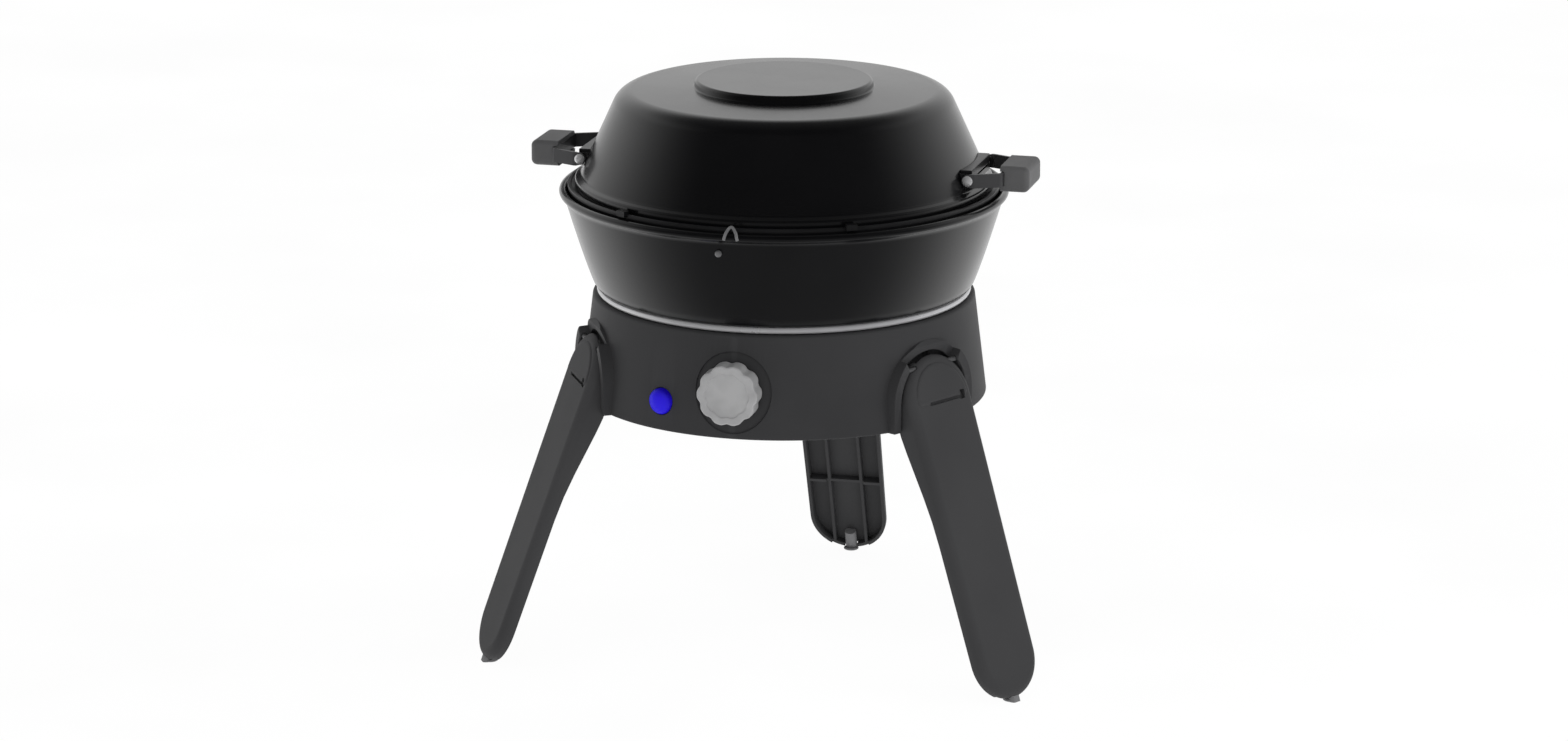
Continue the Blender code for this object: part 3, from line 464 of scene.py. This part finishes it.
def handle_bracket(side, base, hinge):
    piece = thing(f"fine_bracket_{side}",
                  block(132, 145.6, -EAR_Y + 3.2, EAR_Y - 3.2, 353.6, 365.6), base)
    bevel(piece, width=0.8, segments=2)
    ear = (fillet([(132, 354.2, 0), (HANDLE_X + 1, 354.6, 1)])
           + arc(HANDLE_X, HANDLE_Z, 4.4, -70, 70, 14) + [(132, 364.0)])
    for y0, y1 in ((EAR_Y - EAR_T, EAR_Y), (-EAR_Y, -EAR_Y + EAR_T)):
        join(piece, slab(ear, y0, y1, "XZ"), base)
    # the back follows the lid's wall
    wall = [(r + GAP, z) for r, z in LID_OUT[4:] if z > 346]
    carve(piece, lathe(wall + [(151.4, 340), (90, 340), (90, 400)], 256))
    carve(piece, rod(RIVET_HOLE_R, -40, 40, "Y"), hinge)
    finish(piece, f"handle_bracket_{side}", BRACKET)


def strap_outline():
    """A U seen from above: its outer edge out and back, then its inner edge."""
    outer = [(-4.3, ARM_Y, 0), (4.6, ARM_Y, 5), (BAR_X, ARM_Y1 - 0.6, 3.4)]
    inner = [(BAR_X - ARM_T, ARM_Y1 - 2.2, 1.6), (4.3, ARM_Y - ARM_T, 4), (-4.3, ARM_Y - ARM_T, 0)]

    def mirror(corners):
        return [(x, -y, r) for x, y, r in corners]
    return fillet(mirror(outer) + outer[::-1] + inner[::-1] + mirror(inner), True)


def handle_strap(side, hinge):
    piece = thing(f"fine_strap_{side}", slab(strap_outline(), -ARM_H / 2, ARM_H / 2), hinge)
    carve(piece, rod(RIVET_HOLE_R, -40, 40, "Y"), hinge)
    # rounds the arms' ends about the rivets
    carve(piece, slab([(-9, -9), (3.0, -9), (3.0, -ARM_H / 2 - 0.05)]
                      + arc(0, 0, 4.3, -90, -270, 18)
                      + [(3.0, ARM_H / 2 + 0.05), (3.0, 9), (-9, 9)], -45, 45, "XZ"), hinge)
    finish(piece, f"handle_strap_{side}", STRIP, sharp=30)


def handle_grip(side, hinge):
    piece = thing(f"fine_grip_{side}", block(GRIP_X0 - 12, GRIP_X1, -GRIP_L / 2, GRIP_L / 2,
                                             GRIP_Z0, GRIP_Z1), hinge)
    bevel(piece, width=4.4, segments=7, angle=40)
    bake(piece)
    carve(piece, block(GRIP_X0 - 20, GRIP_X0, -40, 40, -20, 20), hinge)
    x, z = BAR_X + GAP, ARM_H / 2 + GAP
    channel = fillet([(BAR_X - 9, -z), (x, -z, 0.6), (x, z, 0.6), (BAR_X - 9, z)], True)
    carve(piece, slab(channel, -40, 40, "XZ"), hinge)
    finish(piece, f"handle_grip_{side}", GRIP, sharp=40)


def handle_rivets(side, hinge):
    under, top, shank_r, shank_end = ARM_Y + GAP, ARM_Y + 2.6, 2.0, EAR_Y - 3.0
    profile = ([(0, top)] + arc(0, top - RIVET_HEAD_R, RIVET_HEAD_R, 82, 34, 6)
               + [(3.8, under), (shank_r, under), (shank_r, shank_end), (0, shank_end)])
    for end, tilt in (("rear", -90), ("front", 90)):
        piece = thing(f"fine_rivet_{side}_{end}", lathe(profile, 40), hinge @ turn("X", tilt))
        finish(piece, f"handle_rivet_{side}_{end}", RIVET)


for side, half_turn in (("right", 0), ("left", 180)):
    base = turn("Z", half_turn)
    hinge = base @ shift(HANDLE_X, 0, HANDLE_Z)
    handle_bracket(side, base, hinge)
    handle_strap(side, hinge)
    handle_grip(side, hinge)
    handle_rivets(side, hinge)

# ------------------------------------------------------------------ grill plate
PLATE_R, PLATE_TOP, PLATE_FLOOR = 156.3, 344.2, 328.0
SLOT_COUNT, SLOT_R0, SLOT_R1, SLOT_HALF = 12, 91, 123, 3


def grill_plate():
    """A shallow pan with a raised rim, two small tabs on it and a ring of radial slots."""
    piece = thing("fine_grill_plate", lathe(fillet([
        (0, PLATE_FLOOR), (142.4, PLATE_FLOOR, 3.0), (147.2, 342.3, 1.5), (153.8, 342.3, 0.8),
        (154.2, PLATE_TOP, 0.5), (PLATE_R, PLATE_TOP, 0.9), (PLATE_R, 341.5, 1.0),
        (151.2, 326.5, 3.0), (147.5, 324.6, 1.0), (0, 324.6)]), 240))
    for az in (-32.0, 32.0):
        join(piece, block(153.5, 158.3, -4.0, 4.0, 342.0, 346.2), azimuth(az))
    slot = arc(SLOT_R1, 0, SLOT_HALF, -90, 90, 10) + arc(SLOT_R0, 0, SLOT_HALF, 90, 270, 10)
    for k in range(SLOT_COUNT):
        carve(piece, slab(slot, 318, 334), azimuth(360.0 / SLOT_COUNT * k + 15))
    finish(piece, "grill_plate", PLATE)


grill_plate()

# ------------------------------------------------------------------ bowl and rim clip
BOWL_RIM_R, BOWL_RIM_Z, BEAD_R = 162.5, 338.0, 2.8
BOWL_FOOT_R, BOWL_FOOT_Z, BOWL_HOLE_R = 136.4, 268.5, 46.0
BOWL_WALL = 2.2
POST_R, POST_AZIMUTHS = 112, (0.0, 120.0, 240.0)        # housing posts under the bowl
CLIP_RIVET_AZ, CLIP_RIVET_Z = -2.3, 325.5


def bowl_r(z):
    rise = (z - BOWL_FOOT_Z) / (335.0 - BOWL_FOOT_Z)
    return BOWL_FOOT_R + (158.9 - BOWL_FOOT_R) * rise ** 0.87


def bowl():
    outer = [333.8 - (333.8 - 273.0) * i / 26 for i in range(27)]
    inner = [278 + (332 - 278) * i / 20 for i in range(21)]
    profile = arc(BOWL_RIM_R - BEAD_R, BOWL_RIM_Z, BEAD_R, 180, -70, 20)
    profile += [(bowl_r(z), z) for z in outer]
    # the floor, with a raised collar round its hole; the first point is already there
    profile += fillet([
        (bowl_r(273), 273), (BOWL_FOOT_R - 0.6, BOWL_FOOT_Z, 3.0), (BOWL_HOLE_R, BOWL_FOOT_Z),
        (BOWL_HOLE_R, 282.0, 0.8), (BOWL_HOLE_R + 2, 282.0, 0.8), (BOWL_HOLE_R + 2, 270.5, 2),
        (BOWL_FOOT_R - 3, 270.5, 4), (bowl_r(276) - BOWL_WALL, 276)])[1:]
    profile += [(bowl_r(z) - BOWL_WALL, z) for z in inner]
    piece = thing("fine_bowl", lathe(profile, 256))
    for az in POST_AZIMUTHS:
        carve(piece, rod(2.4, 250, 280, "Z", 24), around(POST_R, az))
    carve(piece, rod(1.5, -175, -145, "Y", 20),
          turn("Z", CLIP_RIVET_AZ) @ shift(0, 0, CLIP_RIVET_Z))
    finish(piece, "bowl", ENAMEL, sharp=50)


def rim_clip():
    """A bent wire standing on the rim, and its rivet."""
    # (distance from the middle, y, z) up one side of the loop
    half = [(4.9, -163.7, 337.2), (4.3, -163.8, 339.4), (3.4, -162.6, 342.2), (1.0, -161.3, 345.6)]
    # the right side runs back down through the same bends
    right = [(1.0, *half[3][1:]), (3.4, *half[2][1:]), (4.3, *half[1][1:]), (4.9, *half[0][1:])]
    wire = [(-x, y, z) for x, y, z in half] + right
    piece = thing("fine_rim_clip", tube(wire, r=1.1, steps=4), turn("Z", 1.5))
    finish(piece, "rim_clip", CLIP, weighted=False)
    # (radius, distance from the grill's axis)
    profile = [(0, 159.6), (1.0, 159.45), (1.9, 158.9), (2.4, 158.0), (2.45, 156.9), (1.2, 156.9),
               (1.2, 152.5), (0, 152.5)]
    piece = thing("fine_clip_rivet", lathe(profile, 32), outward(CLIP_RIVET_AZ, CLIP_RIVET_Z))
    finish(piece, "rim_clip_rivet", CLIP)


bowl()
rim_clip()

# ------------------------------------------------------------------ bright ring under the bowl
finish(thing("fine_trim_ring", lathe(arc(133.5, 265.8, 2.4, 90, -270, 24)[:-1], 256)),
       "trim_ring", RING)

# ------------------------------------------------------------------ legs
# A leg's own frame starts at its fold pin: x outward, y across, z along the leg.
LEG_AZ = {"right": 61.0, "left": -59.0, "rear": 181.0}
LEG_LEAN, LEG_FACE, LEG_TOP, LEG_TIP = 20.2, 3.4, 8.4, -243.5
LEG_HEAD_W, LEG_TIP_W, LEG_SKIN = 32.0, 29.8, 3.0       # half widths and wall
HEAD_C, TIP_C = LEG_TOP - LEG_HEAD_W, LEG_TIP + LEG_TIP_W
LEG_INNER = LEG_FACE - LEG_SKIN
RIB_Y, RIB_HALF, CROSS_RIB = 12.5, 1.2, -180.0          # two long ribs and one across
LEG_EDGE_R, LEG_EDGE_STEPS = 6.5, 9
PEG_X, PEG_R = -3.2, 4.4
HINGE = {name: AXIS.inverted() @ Matrix.Translation(JOINT[f"leg_{name}_fold"]["pos_m"]) @ azimuth(az)
         for name, az in LEG_AZ.items()}

# (x, z, corner radius) of the leg seen from the side
LEG_SIDE = fillet([
    (LEG_FACE + 3, 40), (LEG_FACE + 3, -260), (-6.8, -260), (-6.8, -108, 260), (-15.8, -45, 160),
    (-15.8, -9, 6), (-12.4, -1.6, 4), (-6.0, 5.4, 3), (0, 9.2, 1), (0, 40)], True, 5)


def leg_outline(inset=0.0, n=36):
    return (arc(0, HEAD_C, LEG_HEAD_W - inset, 180, 0, n)
            + arc(0, TIP_C, LEG_TIP_W - inset, 0, -180, n))


def leg_body():
    """The leg's outline, drawn out in x, with a rounded edge to its outer face."""
    rings = [(-16, leg_outline())]
    for k in range(LEG_EDGE_STEPS + 1):
        t = pi / 2 * k / LEG_EDGE_STEPS
        rings.append((LEG_FACE - LEG_EDGE_R + LEG_EDGE_R * sin(t),
                      leg_outline(LEG_EDGE_R - LEG_EDGE_R * cos(t))))
    return loft([[(x, y, z) for y, z in outline] for x, outline in rings])


def pad_body():
    """The raised D on a leg's head, with soft upper edges and a flat foot."""
    outline = fillet([(-25.0, HEAD_C - 3.4, 2.4), (23.0, HEAD_C - 3.4, 2.4)]
                     + arc(0, HEAD_C - 1.0, 25.6, 0, 180, 26), True, 22)
    middle = HEAD_C + 9
    # height over the leg's face, and how far the outline has drawn in
    stations = ((-1.2, 0.0), (0, 0.0), (0.45, 0.35), (0.8, 1.1), (0.95, 2.4))
    return loft([[(LEG_FACE + rise, y * (1 - inset / 25), middle + (z - middle) * (1 - inset / 14))
                  for y, z in outline] for rise, inset in stations])


def leg(name, at):
    piece = thing(f"fine_leg_{name}", leg_body(), at)
    keep_inside(piece, slab(LEG_SIDE, -40, 40, "XZ"), at)
    # hollow behind the face, between the ribs
    near, far = RIB_Y - RIB_HALF, RIB_Y + RIB_HALF
    for y0, y1 in ((-40, -far), (-near, near), (far, 40)):
        for z0, z1 in ((CROSS_RIB + RIB_HALF, 40.0), (-260.0, CROSS_RIB - RIB_HALF)):
            room = tool(slab(leg_outline(2.6), LEG_INNER - 40, LEG_INNER, "YZ"), at)
            keep_inside(room, block(-60, 10, y0, y1, z0, z1), at)
            bake(room)
            combine(piece, room, "DIFFERENCE")
    # ribs cut back, and cleared from the head
    carve(piece, slab([(-40, 30), (-5.0, 30), (-5.0, -260), (-40, -260)],
                      -(far + 1), far + 1, "XZ"), at)
    carve(piece, block(-40, LEG_INNER, -far - 1, far + 1, -14, 40), at)
    # pin hole, and room for the foot peg
    carve(piece, rod(2.1, -40, 40, "Y"), at)
    carve(piece, block(-40, LEG_INNER, -PEG_R - 0.5, PEG_R + 0.5, -260, LEG_TIP + 15), at)
    # raised pad, with a slit and a small rectangular hole along its lower edge
    join(piece, pad_body(), at)
    carve(piece, block(LEG_FACE - 1.9, 20, -14.0, 19.0, HEAD_C - 4.4, HEAD_C - 2.2), at)
    carve(piece, block(LEG_FACE - 2.4, 20, 17.5, 22.3, HEAD_C - 5.2, HEAD_C + 1.2), at)
    finish(piece, f"leg_{name}", LEG, sharp=36)


def foot_peg(name, az, at):
    """A peg in the leg's tip, cut off at the floor, with a low round foot."""
    piece = thing(f"fine_foot_peg_{name}", rod(PEG_R, LEG_TIP - 12, LEG_TIP + 14, "Z", 40),
                  at @ shift(PEG_X, 0, 0))
    carve(piece, block(-400, 400, -400, 400, -60, 0))
    carve(piece, block(LEG_INNER - GAP, 20, -20, 20, -280, -200), at)
    bake(piece)
    spot = at @ Vector((PEG_X * MM, 0, (LEG_TIP + 0.6) * MM))
    spot = spot - (azimuth(az) @ Vector((1.8 * MM, 0, 0)))
    join(piece, lathe([(0, 0.0), (4.9, 0.0), (5.6, 0.4), (5.8, 1.1), (5.3, 1.8), (0, 1.8)], 48),
         Matrix.Translation((spot.x, spot.y, 0)))
    finish(piece, f"foot_peg_{name}", PEG)


for name, az in LEG_AZ.items():
    at = HINGE[name] @ turn("Y", -LEG_LEAN)
    leg(name, at)
    foot_peg(name, az, at)

# ------------------------------------------------------------------ burner housing
HOUSE_TOP_R, HOUSE_TOP, HOUSE_FOOT_R, HOUSE_FOOT, HOUSE_WALL = 138.6, 263.1, 147.6, 189.3, 3.0
SOCKET_Z, SOCKET_IN, SOCKET_OUT, SOCKET_BACK = 209.0, 33.4, 41.0, 121.0
ARCH_R, ARCH_KNEE, ARCH_TOP = 147.0, 237.0, 250.5       # the leg sockets' arched surrounds
LEG_FOLDS = (146.0, 96, 74)                             # leg angles the sockets are cleared for
SEAT_R, SEAT_DEPTH = 28.9, 1.2                          # recess round the knob
KNOB_Z = 223.8
IGN_AZ, IGN_Z, IGN_R = -22.2, 210.0, 9.4
HOSE_AZ, HOSE_Z = -125.0, 226.0

# (radius, z, corner radius) of a socket surround seen from the side
ARCH_SIDE = fillet([
    (SOCKET_BACK - 3, 186), (SOCKET_BACK - 3, 252), (138.0, 252), (ARCH_R - 6.9, ARCH_TOP),
    (ARCH_R, ARCH_KNEE + 0.6, 6), (ARCH_R, 186)], True, 6)


def arch(r, foot):
    return [(-r, foot)] + arc(0, SOCKET_Z, r, 180, 0, 40) + [(r, foot)]


def house_r(z):
    slope = (HOUSE_FOOT_R - HOUSE_TOP_R) / (HOUSE_TOP - HOUSE_FOOT)
    return HOUSE_TOP_R + (HOUSE_TOP - z) * slope


def leg_sockets(house):
    for az in LEG_AZ.values():
        boss = tool(slab(arch(SOCKET_OUT, HOUSE_FOOT), SOCKET_BACK - 3, 181, "YZ"), azimuth(az))
        keep_inside(boss, slab(ARCH_SIDE, -50, 50, "XZ"), azimuth(az))
        bake(boss)
        bevel(boss, width=1.8, segments=4, angle=38)
        bake(boss)
        combine(house, boss, "UNION")
    bake(house)
    for name, az in LEG_AZ.items():
        carve(house, slab(arch(SOCKET_IN, 180), SOCKET_BACK, 181, "YZ"), azimuth(az))
        # the opening's edge flares outward
        carve(house, slab(arch(SOCKET_IN - 0.3, 180), ARCH_R - 1.5, ARCH_R + 1.0, "YZ",
                          arch(SOCKET_IN + 1.5, 180)), azimuth(az))
        for fold in LEG_FOLDS:
            carve(house, slab(leg_outline(-0.9, 30), -16.6, LEG_FACE + 1.6, "YZ"),
                  HINGE[name] @ turn("Y", -LEG_LEAN - fold))
        carve(house, rod(1.95, -31.0, 31.0, "Y", 24), HINGE[name])
    bake(house)


def knob_seat(house):
    """A thickened wall, and in it a shallow recess with its floor parallel to the slope."""
    at = shift(0, 0, KNOB_Z)
    pad = tool(rod(SEAT_R + 2.2, -150, -133.4, "Y", 96), at)
    keep_inside(pad, lathe([(0, HOUSE_TOP - 0.5), (HOUSE_TOP_R - 0.4, HOUSE_TOP - 0.5),
                            (HOUSE_FOOT_R - 0.9, 194.3), (0, 194.3)], 240))
    bake(pad)
    combine(house, pad, "UNION")
    # (y, radius over SEAT_R) along the recess, flared at its edge
    stations = ((-130, -2.6), (-137.5, -2.4), (-140.5, -1.4), (-143.5, 0.2), (-147.0, 1.8),
                (-156, 2.4))
    seat = tool(loft([[((SEAT_R + grow) * x, y, (SEAT_R + grow) * z) for x, z in unit_circle(120)]
                      for y, grow in stations]), at)
    carve(seat, lathe([(0, 300), (house_r(300) - SEAT_DEPTH, 300),
                       (house_r(150) - SEAT_DEPTH, 150), (0, 150)], 240))
    bake(seat)
    combine(house, seat, "DIFFERENCE")
    carve(house, rod(4.6, -146, -125, "Y", 30), at)


def burner_housing():
    house = thing("fine_burner_housing", lathe(fillet([
        (104.0, HOUSE_TOP), (HOUSE_TOP_R, HOUSE_TOP, 2.2), (HOUSE_FOOT_R, HOUSE_FOOT, 1.2),
        (HOUSE_FOOT_R - HOUSE_WALL, HOUSE_FOOT, 0.6),
        (HOUSE_TOP_R - HOUSE_WALL + 0.4, HOUSE_TOP - 3, 3), (104.0, HOUSE_TOP - 3)]), 240))
    leg_sockets(house)
    knob_seat(house)
    # holes for the igniter button and the hose tail
    for r, sides, az, z in ((IGN_R + 0.4, 48, IGN_AZ, IGN_Z), (5.6, 32, HOSE_AZ, HOSE_Z)):
        carve(house, rod(r, 125, 155, "X", sides), azimuth(az) @ shift(0, 0, z))
    # bored posts: up to the bowl, and down inside the wall
    for az in POST_AZIMUTHS:
        join(house, rod(5, HOUSE_TOP - 2, BOWL_FOOT_Z - GAP, "Z", 24), around(POST_R, az))
        carve(house, rod(2.3, 250, 280, "Z", 20), around(POST_R, az))
    for az in (30.0, 150.0, 270.0):
        join(house, rod(5, 194.2, HOUSE_TOP - 2, "Z", 24), around(124, az))
        carve(house, rod(1.9, 180, 206, "Z", 16), around(124, az))
    finish(house, "burner_housing", PLASTIC, sharp=36)


burner_housing()

# ------------------------------------------------------------------ control knob
KNOB_R, KNOB_LOBES = 22.0, 10
KNOB_Y = -138.0                                         # the knob's own origin
KNOB_FACE, KNOB_BACK = -(160.0 + KNOB_Y), -(144.4 + KNOB_Y)


def lobed(depth, scale=1.0):
    n = KNOB_LOBES * 16
    points = []
    for k in range(n):
        t = 2 * pi * k / n
        r = KNOB_R - depth * (0.5 - 0.5 * cos(KNOB_LOBES * t)) ** 2
        points.append((r * cos(t) * scale, r * sin(t) * scale))
    return points


def control_knob():
    at = shift(0, KNOB_Y, KNOB_Z)
    piece = thing("fine_knob", slab(lobed(1.5), KNOB_FACE, KNOB_BACK, "XZ"), at)
    bevel(piece, width=1.5, segments=4, angle=50)
    bake(piece)
    join(piece, rod(7.0, -7.5, 138 - 142.7, "Y", 48), at)
    carve(piece, rod(3.4, -15.0, 4.0, "Y", 28), at)
    # a shallow dish in the face, which follows the lobes
    carve(piece, slab(lobed(1.3, 0.80), KNOB_FACE - 1, KNOB_FACE + 0.7, "XZ", lobed(1.3, 0.72)), at)
    finish(piece, "control_knob", KNOB, sharp=36)


control_knob()

# ------------------------------------------------------------------ igniter button, hose tail
# profiles of (radius, distance from the grill's axis)
dome = [(IGN_R * sin(radians(t)), 145.0 + 6.0 * cos(radians(t)) ** 0.8) for t in range(8, 84, 8)]
button = [(0, 151.0)] + dome + [(IGN_R, 145.0), (IGN_R, 138.2), (4.0, 138.2), (4.0, 133.0),
                                (0, 133.0)]
finish(thing("fine_igniter_button", lathe(button, 64), outward(IGN_AZ, IGN_Z)),
       "igniter_button", BLUE)

barbs = fillet([
    (0, 165), (3.6, 165, 0.6), (4.7, 161.5, 0.4), (3.8, 161), (4.9, 157, 0.4), (3.8, 156.5),
    (5.0, 152, 0.4), (4.0, 151.5), (4.0, 148.8, 0.5), (8.4, 148.8, 0.6), (8.4, 145.4, 0.5),
    (5.2, 145.4), (5.2, 129), (0, 129)])
finish(thing("fine_hose_tail", lathe(barbs, 64), outward(HOSE_AZ, HOSE_Z)), "hose_tail", BRASS)

# ------------------------------------------------------------------ materials of the CAD pieces
SLOT_MATERIAL = {
    "housing_plastic": PLASTIC, "steel": STEEL, "brass": BRASS, "cast_aluminium": CAST,
    "black_cap": CAP, "black_plastic": SATIN, "porcelain": CERAMIC, "bright_rivet": RIVET,
    "dark_strip": STRIP, "foot_rubber": PEG, "black_enamel": ENAMEL, "cast_plate": PLATE,
    "bright_ring": RING, "knob_silver": KNOB, "igniter_blue": BLUE, "grip_plastic": GRIP}
for name, piece in frame["nodes"].items():
    material = STRIP if name.startswith("leg_pin") else SLOT_MATERIAL[SLOT[name]]
    if not piece.material_slots:
        piece.data.materials.append(material)
    for slot in piece.material_slots:
        slot.material = material

for piece in TOOLS:
    bpy.data.objects.remove(piece, do_unlink=True)


# ------------------------------------------------------------------ floor
def floor_material():
    """Glowing near-white with hardly a shadow on it, and see-through from underneath."""
    material, nt, bsdf = new_material("pale_floor")
    drift = noise(nt, scale=3.0, detail=4.0)
    behind = node(nt, "NewGeometry").outputs["Backfacing"]
    set_up(nt, bsdf, {
        "Base Color": ramp(nt, drift, (0.05, 0.05, 0.05), (0.06, 0.06, 0.06)),
        "Emission Color": ramp(nt, drift, (0.985, 0.985, 0.985), (1.0, 1.0, 1.0)),
        "Emission Strength": 0.97, "Roughness": 0.9, "Specular IOR Level": 0.0,
        "Alpha": calc(nt, "SUBTRACT", 1.0, behind)})
    return material


def build_floor():
    bm = bmesh.new()
    bmesh.ops.create_grid(bm, x_segments=2, y_segments=2, size=20)
    mesh = bpy.data.meshes.new("floor")
    bm.to_mesh(mesh)
    bm.free()
    floor = bpy.data.objects.new("floor", mesh)
    bpy.context.scene.collection.objects.link(floor)
    mesh.materials.append(floor_material())
    floor.location.z = -0.0002
    floor.visible_glossy = False


build_floor()

# ------------------------------------------------------------------ world
CAM_AZ, CAM_EL, CAM_DIST, CAM_LENS = 14.6, 14.891, 3.783, 119.0
GLOSS_BACK, GLOSS_FRONT, GLOSS_BELOW, DIFFUSE_SKY = 0.82, 0.03, 0.14, 0.55


def build_world():
    """Shiny parts see white behind and at the sides, dark above and in front, grey below."""
    world = bpy.data.worlds.new("studio")
    bpy.context.scene.world = world
    world.use_nodes = True
    nt = world.node_tree
    ray = node(nt, "TexCoord").outputs["Generated"]
    to_camera = (sin(radians(CAM_AZ)), -cos(radians(CAM_AZ)), 0.0)
    facing = node(nt, "VectorMath", {"operation": "DOT_PRODUCT", 0: ray, 1: to_camera})
    up = node(nt, "SeparateXYZ", {"Vector": ray}).outputs["Z"]
    front = remap(nt, facing.outputs["Value"], GLOSS_BACK, GLOSS_FRONT,
                  start=-0.55, end=0.50, kind="SMOOTHSTEP")
    above = remap(nt, up, 1.0, 0.12, start=0.50, end=0.86, kind="SMOOTHSTEP")
    below = remap(nt, up, GLOSS_BELOW, 0.0, start=-0.30, end=0.05, kind="SMOOTHSTEP")
    gloss = calc(nt, "ADD", calc(nt, "MULTIPLY", front, above), below)
    path = node(nt, "LightPath")
    # sockets 0, 2 and 3 are the factor and the two values; the camera itself sees white
    seen = node(nt, "Mix", {"data_type": "FLOAT", 0: path.outputs["Is Glossy Ray"],
                            2: DIFFUSE_SKY, 3: gloss}).outputs[0]
    strength = node(nt, "Mix", {"data_type": "FLOAT", 0: path.outputs["Is Camera Ray"],
                                2: seen, 3: 1.0}).outputs[0]
    set_up(nt, nt.nodes["Background"], {"Color": (1, 1, 1, 1), "Strength": strength})


build_world()


# ------------------------------------------------------------------ lights and camera
def look_from(name, data, aim, az, el, dist):
    """An object dist metres from aim, at an azimuth and elevation, looking at it."""
    looker = bpy.data.objects.new(name, data)
    bpy.context.scene.collection.objects.link(looker)
    az, el = radians(az), radians(el)
    back = Vector((sin(az) * cos(el), -cos(az) * cos(el), sin(el)))
    looker.location = aim + back * dist
    looker.rotation_mode = "QUATERNION"
    looker.rotation_quaternion = (-back).to_track_quat("-Z", "Y")
    return looker


def disk_light(name, az, el, dist, size, power):
    light = bpy.data.lights.new(name, "AREA")
    light.shape, light.size, light.energy = "DISK", size, power
    lamp = look_from(name, light, Vector((0, 0, 0.22)), az, el, dist)
    lamp.visible_camera = False
    lamp.visible_glossy = False


disk_light("soft_right", az=80, el=18, dist=2.6, size=1.8, power=14)
disk_light("soft_front", az=0, el=30, dist=2.8, size=2.2, power=6)

lens = bpy.data.cameras.new("camera")
lens.sensor_width, lens.lens = 36.0, CAM_LENS
lens.clip_start, lens.clip_end = 0.05, 60
scene = bpy.context.scene
scene.camera = look_from("camera", lens, AXIS.translation + Vector((0, 0, 0.2015)),
                         CAM_AZ, CAM_EL, CAM_DIST)
scene.view_settings.view_transform = "Standard"
scene.view_settings.look = "None"

bpy.context.view_layer.update()
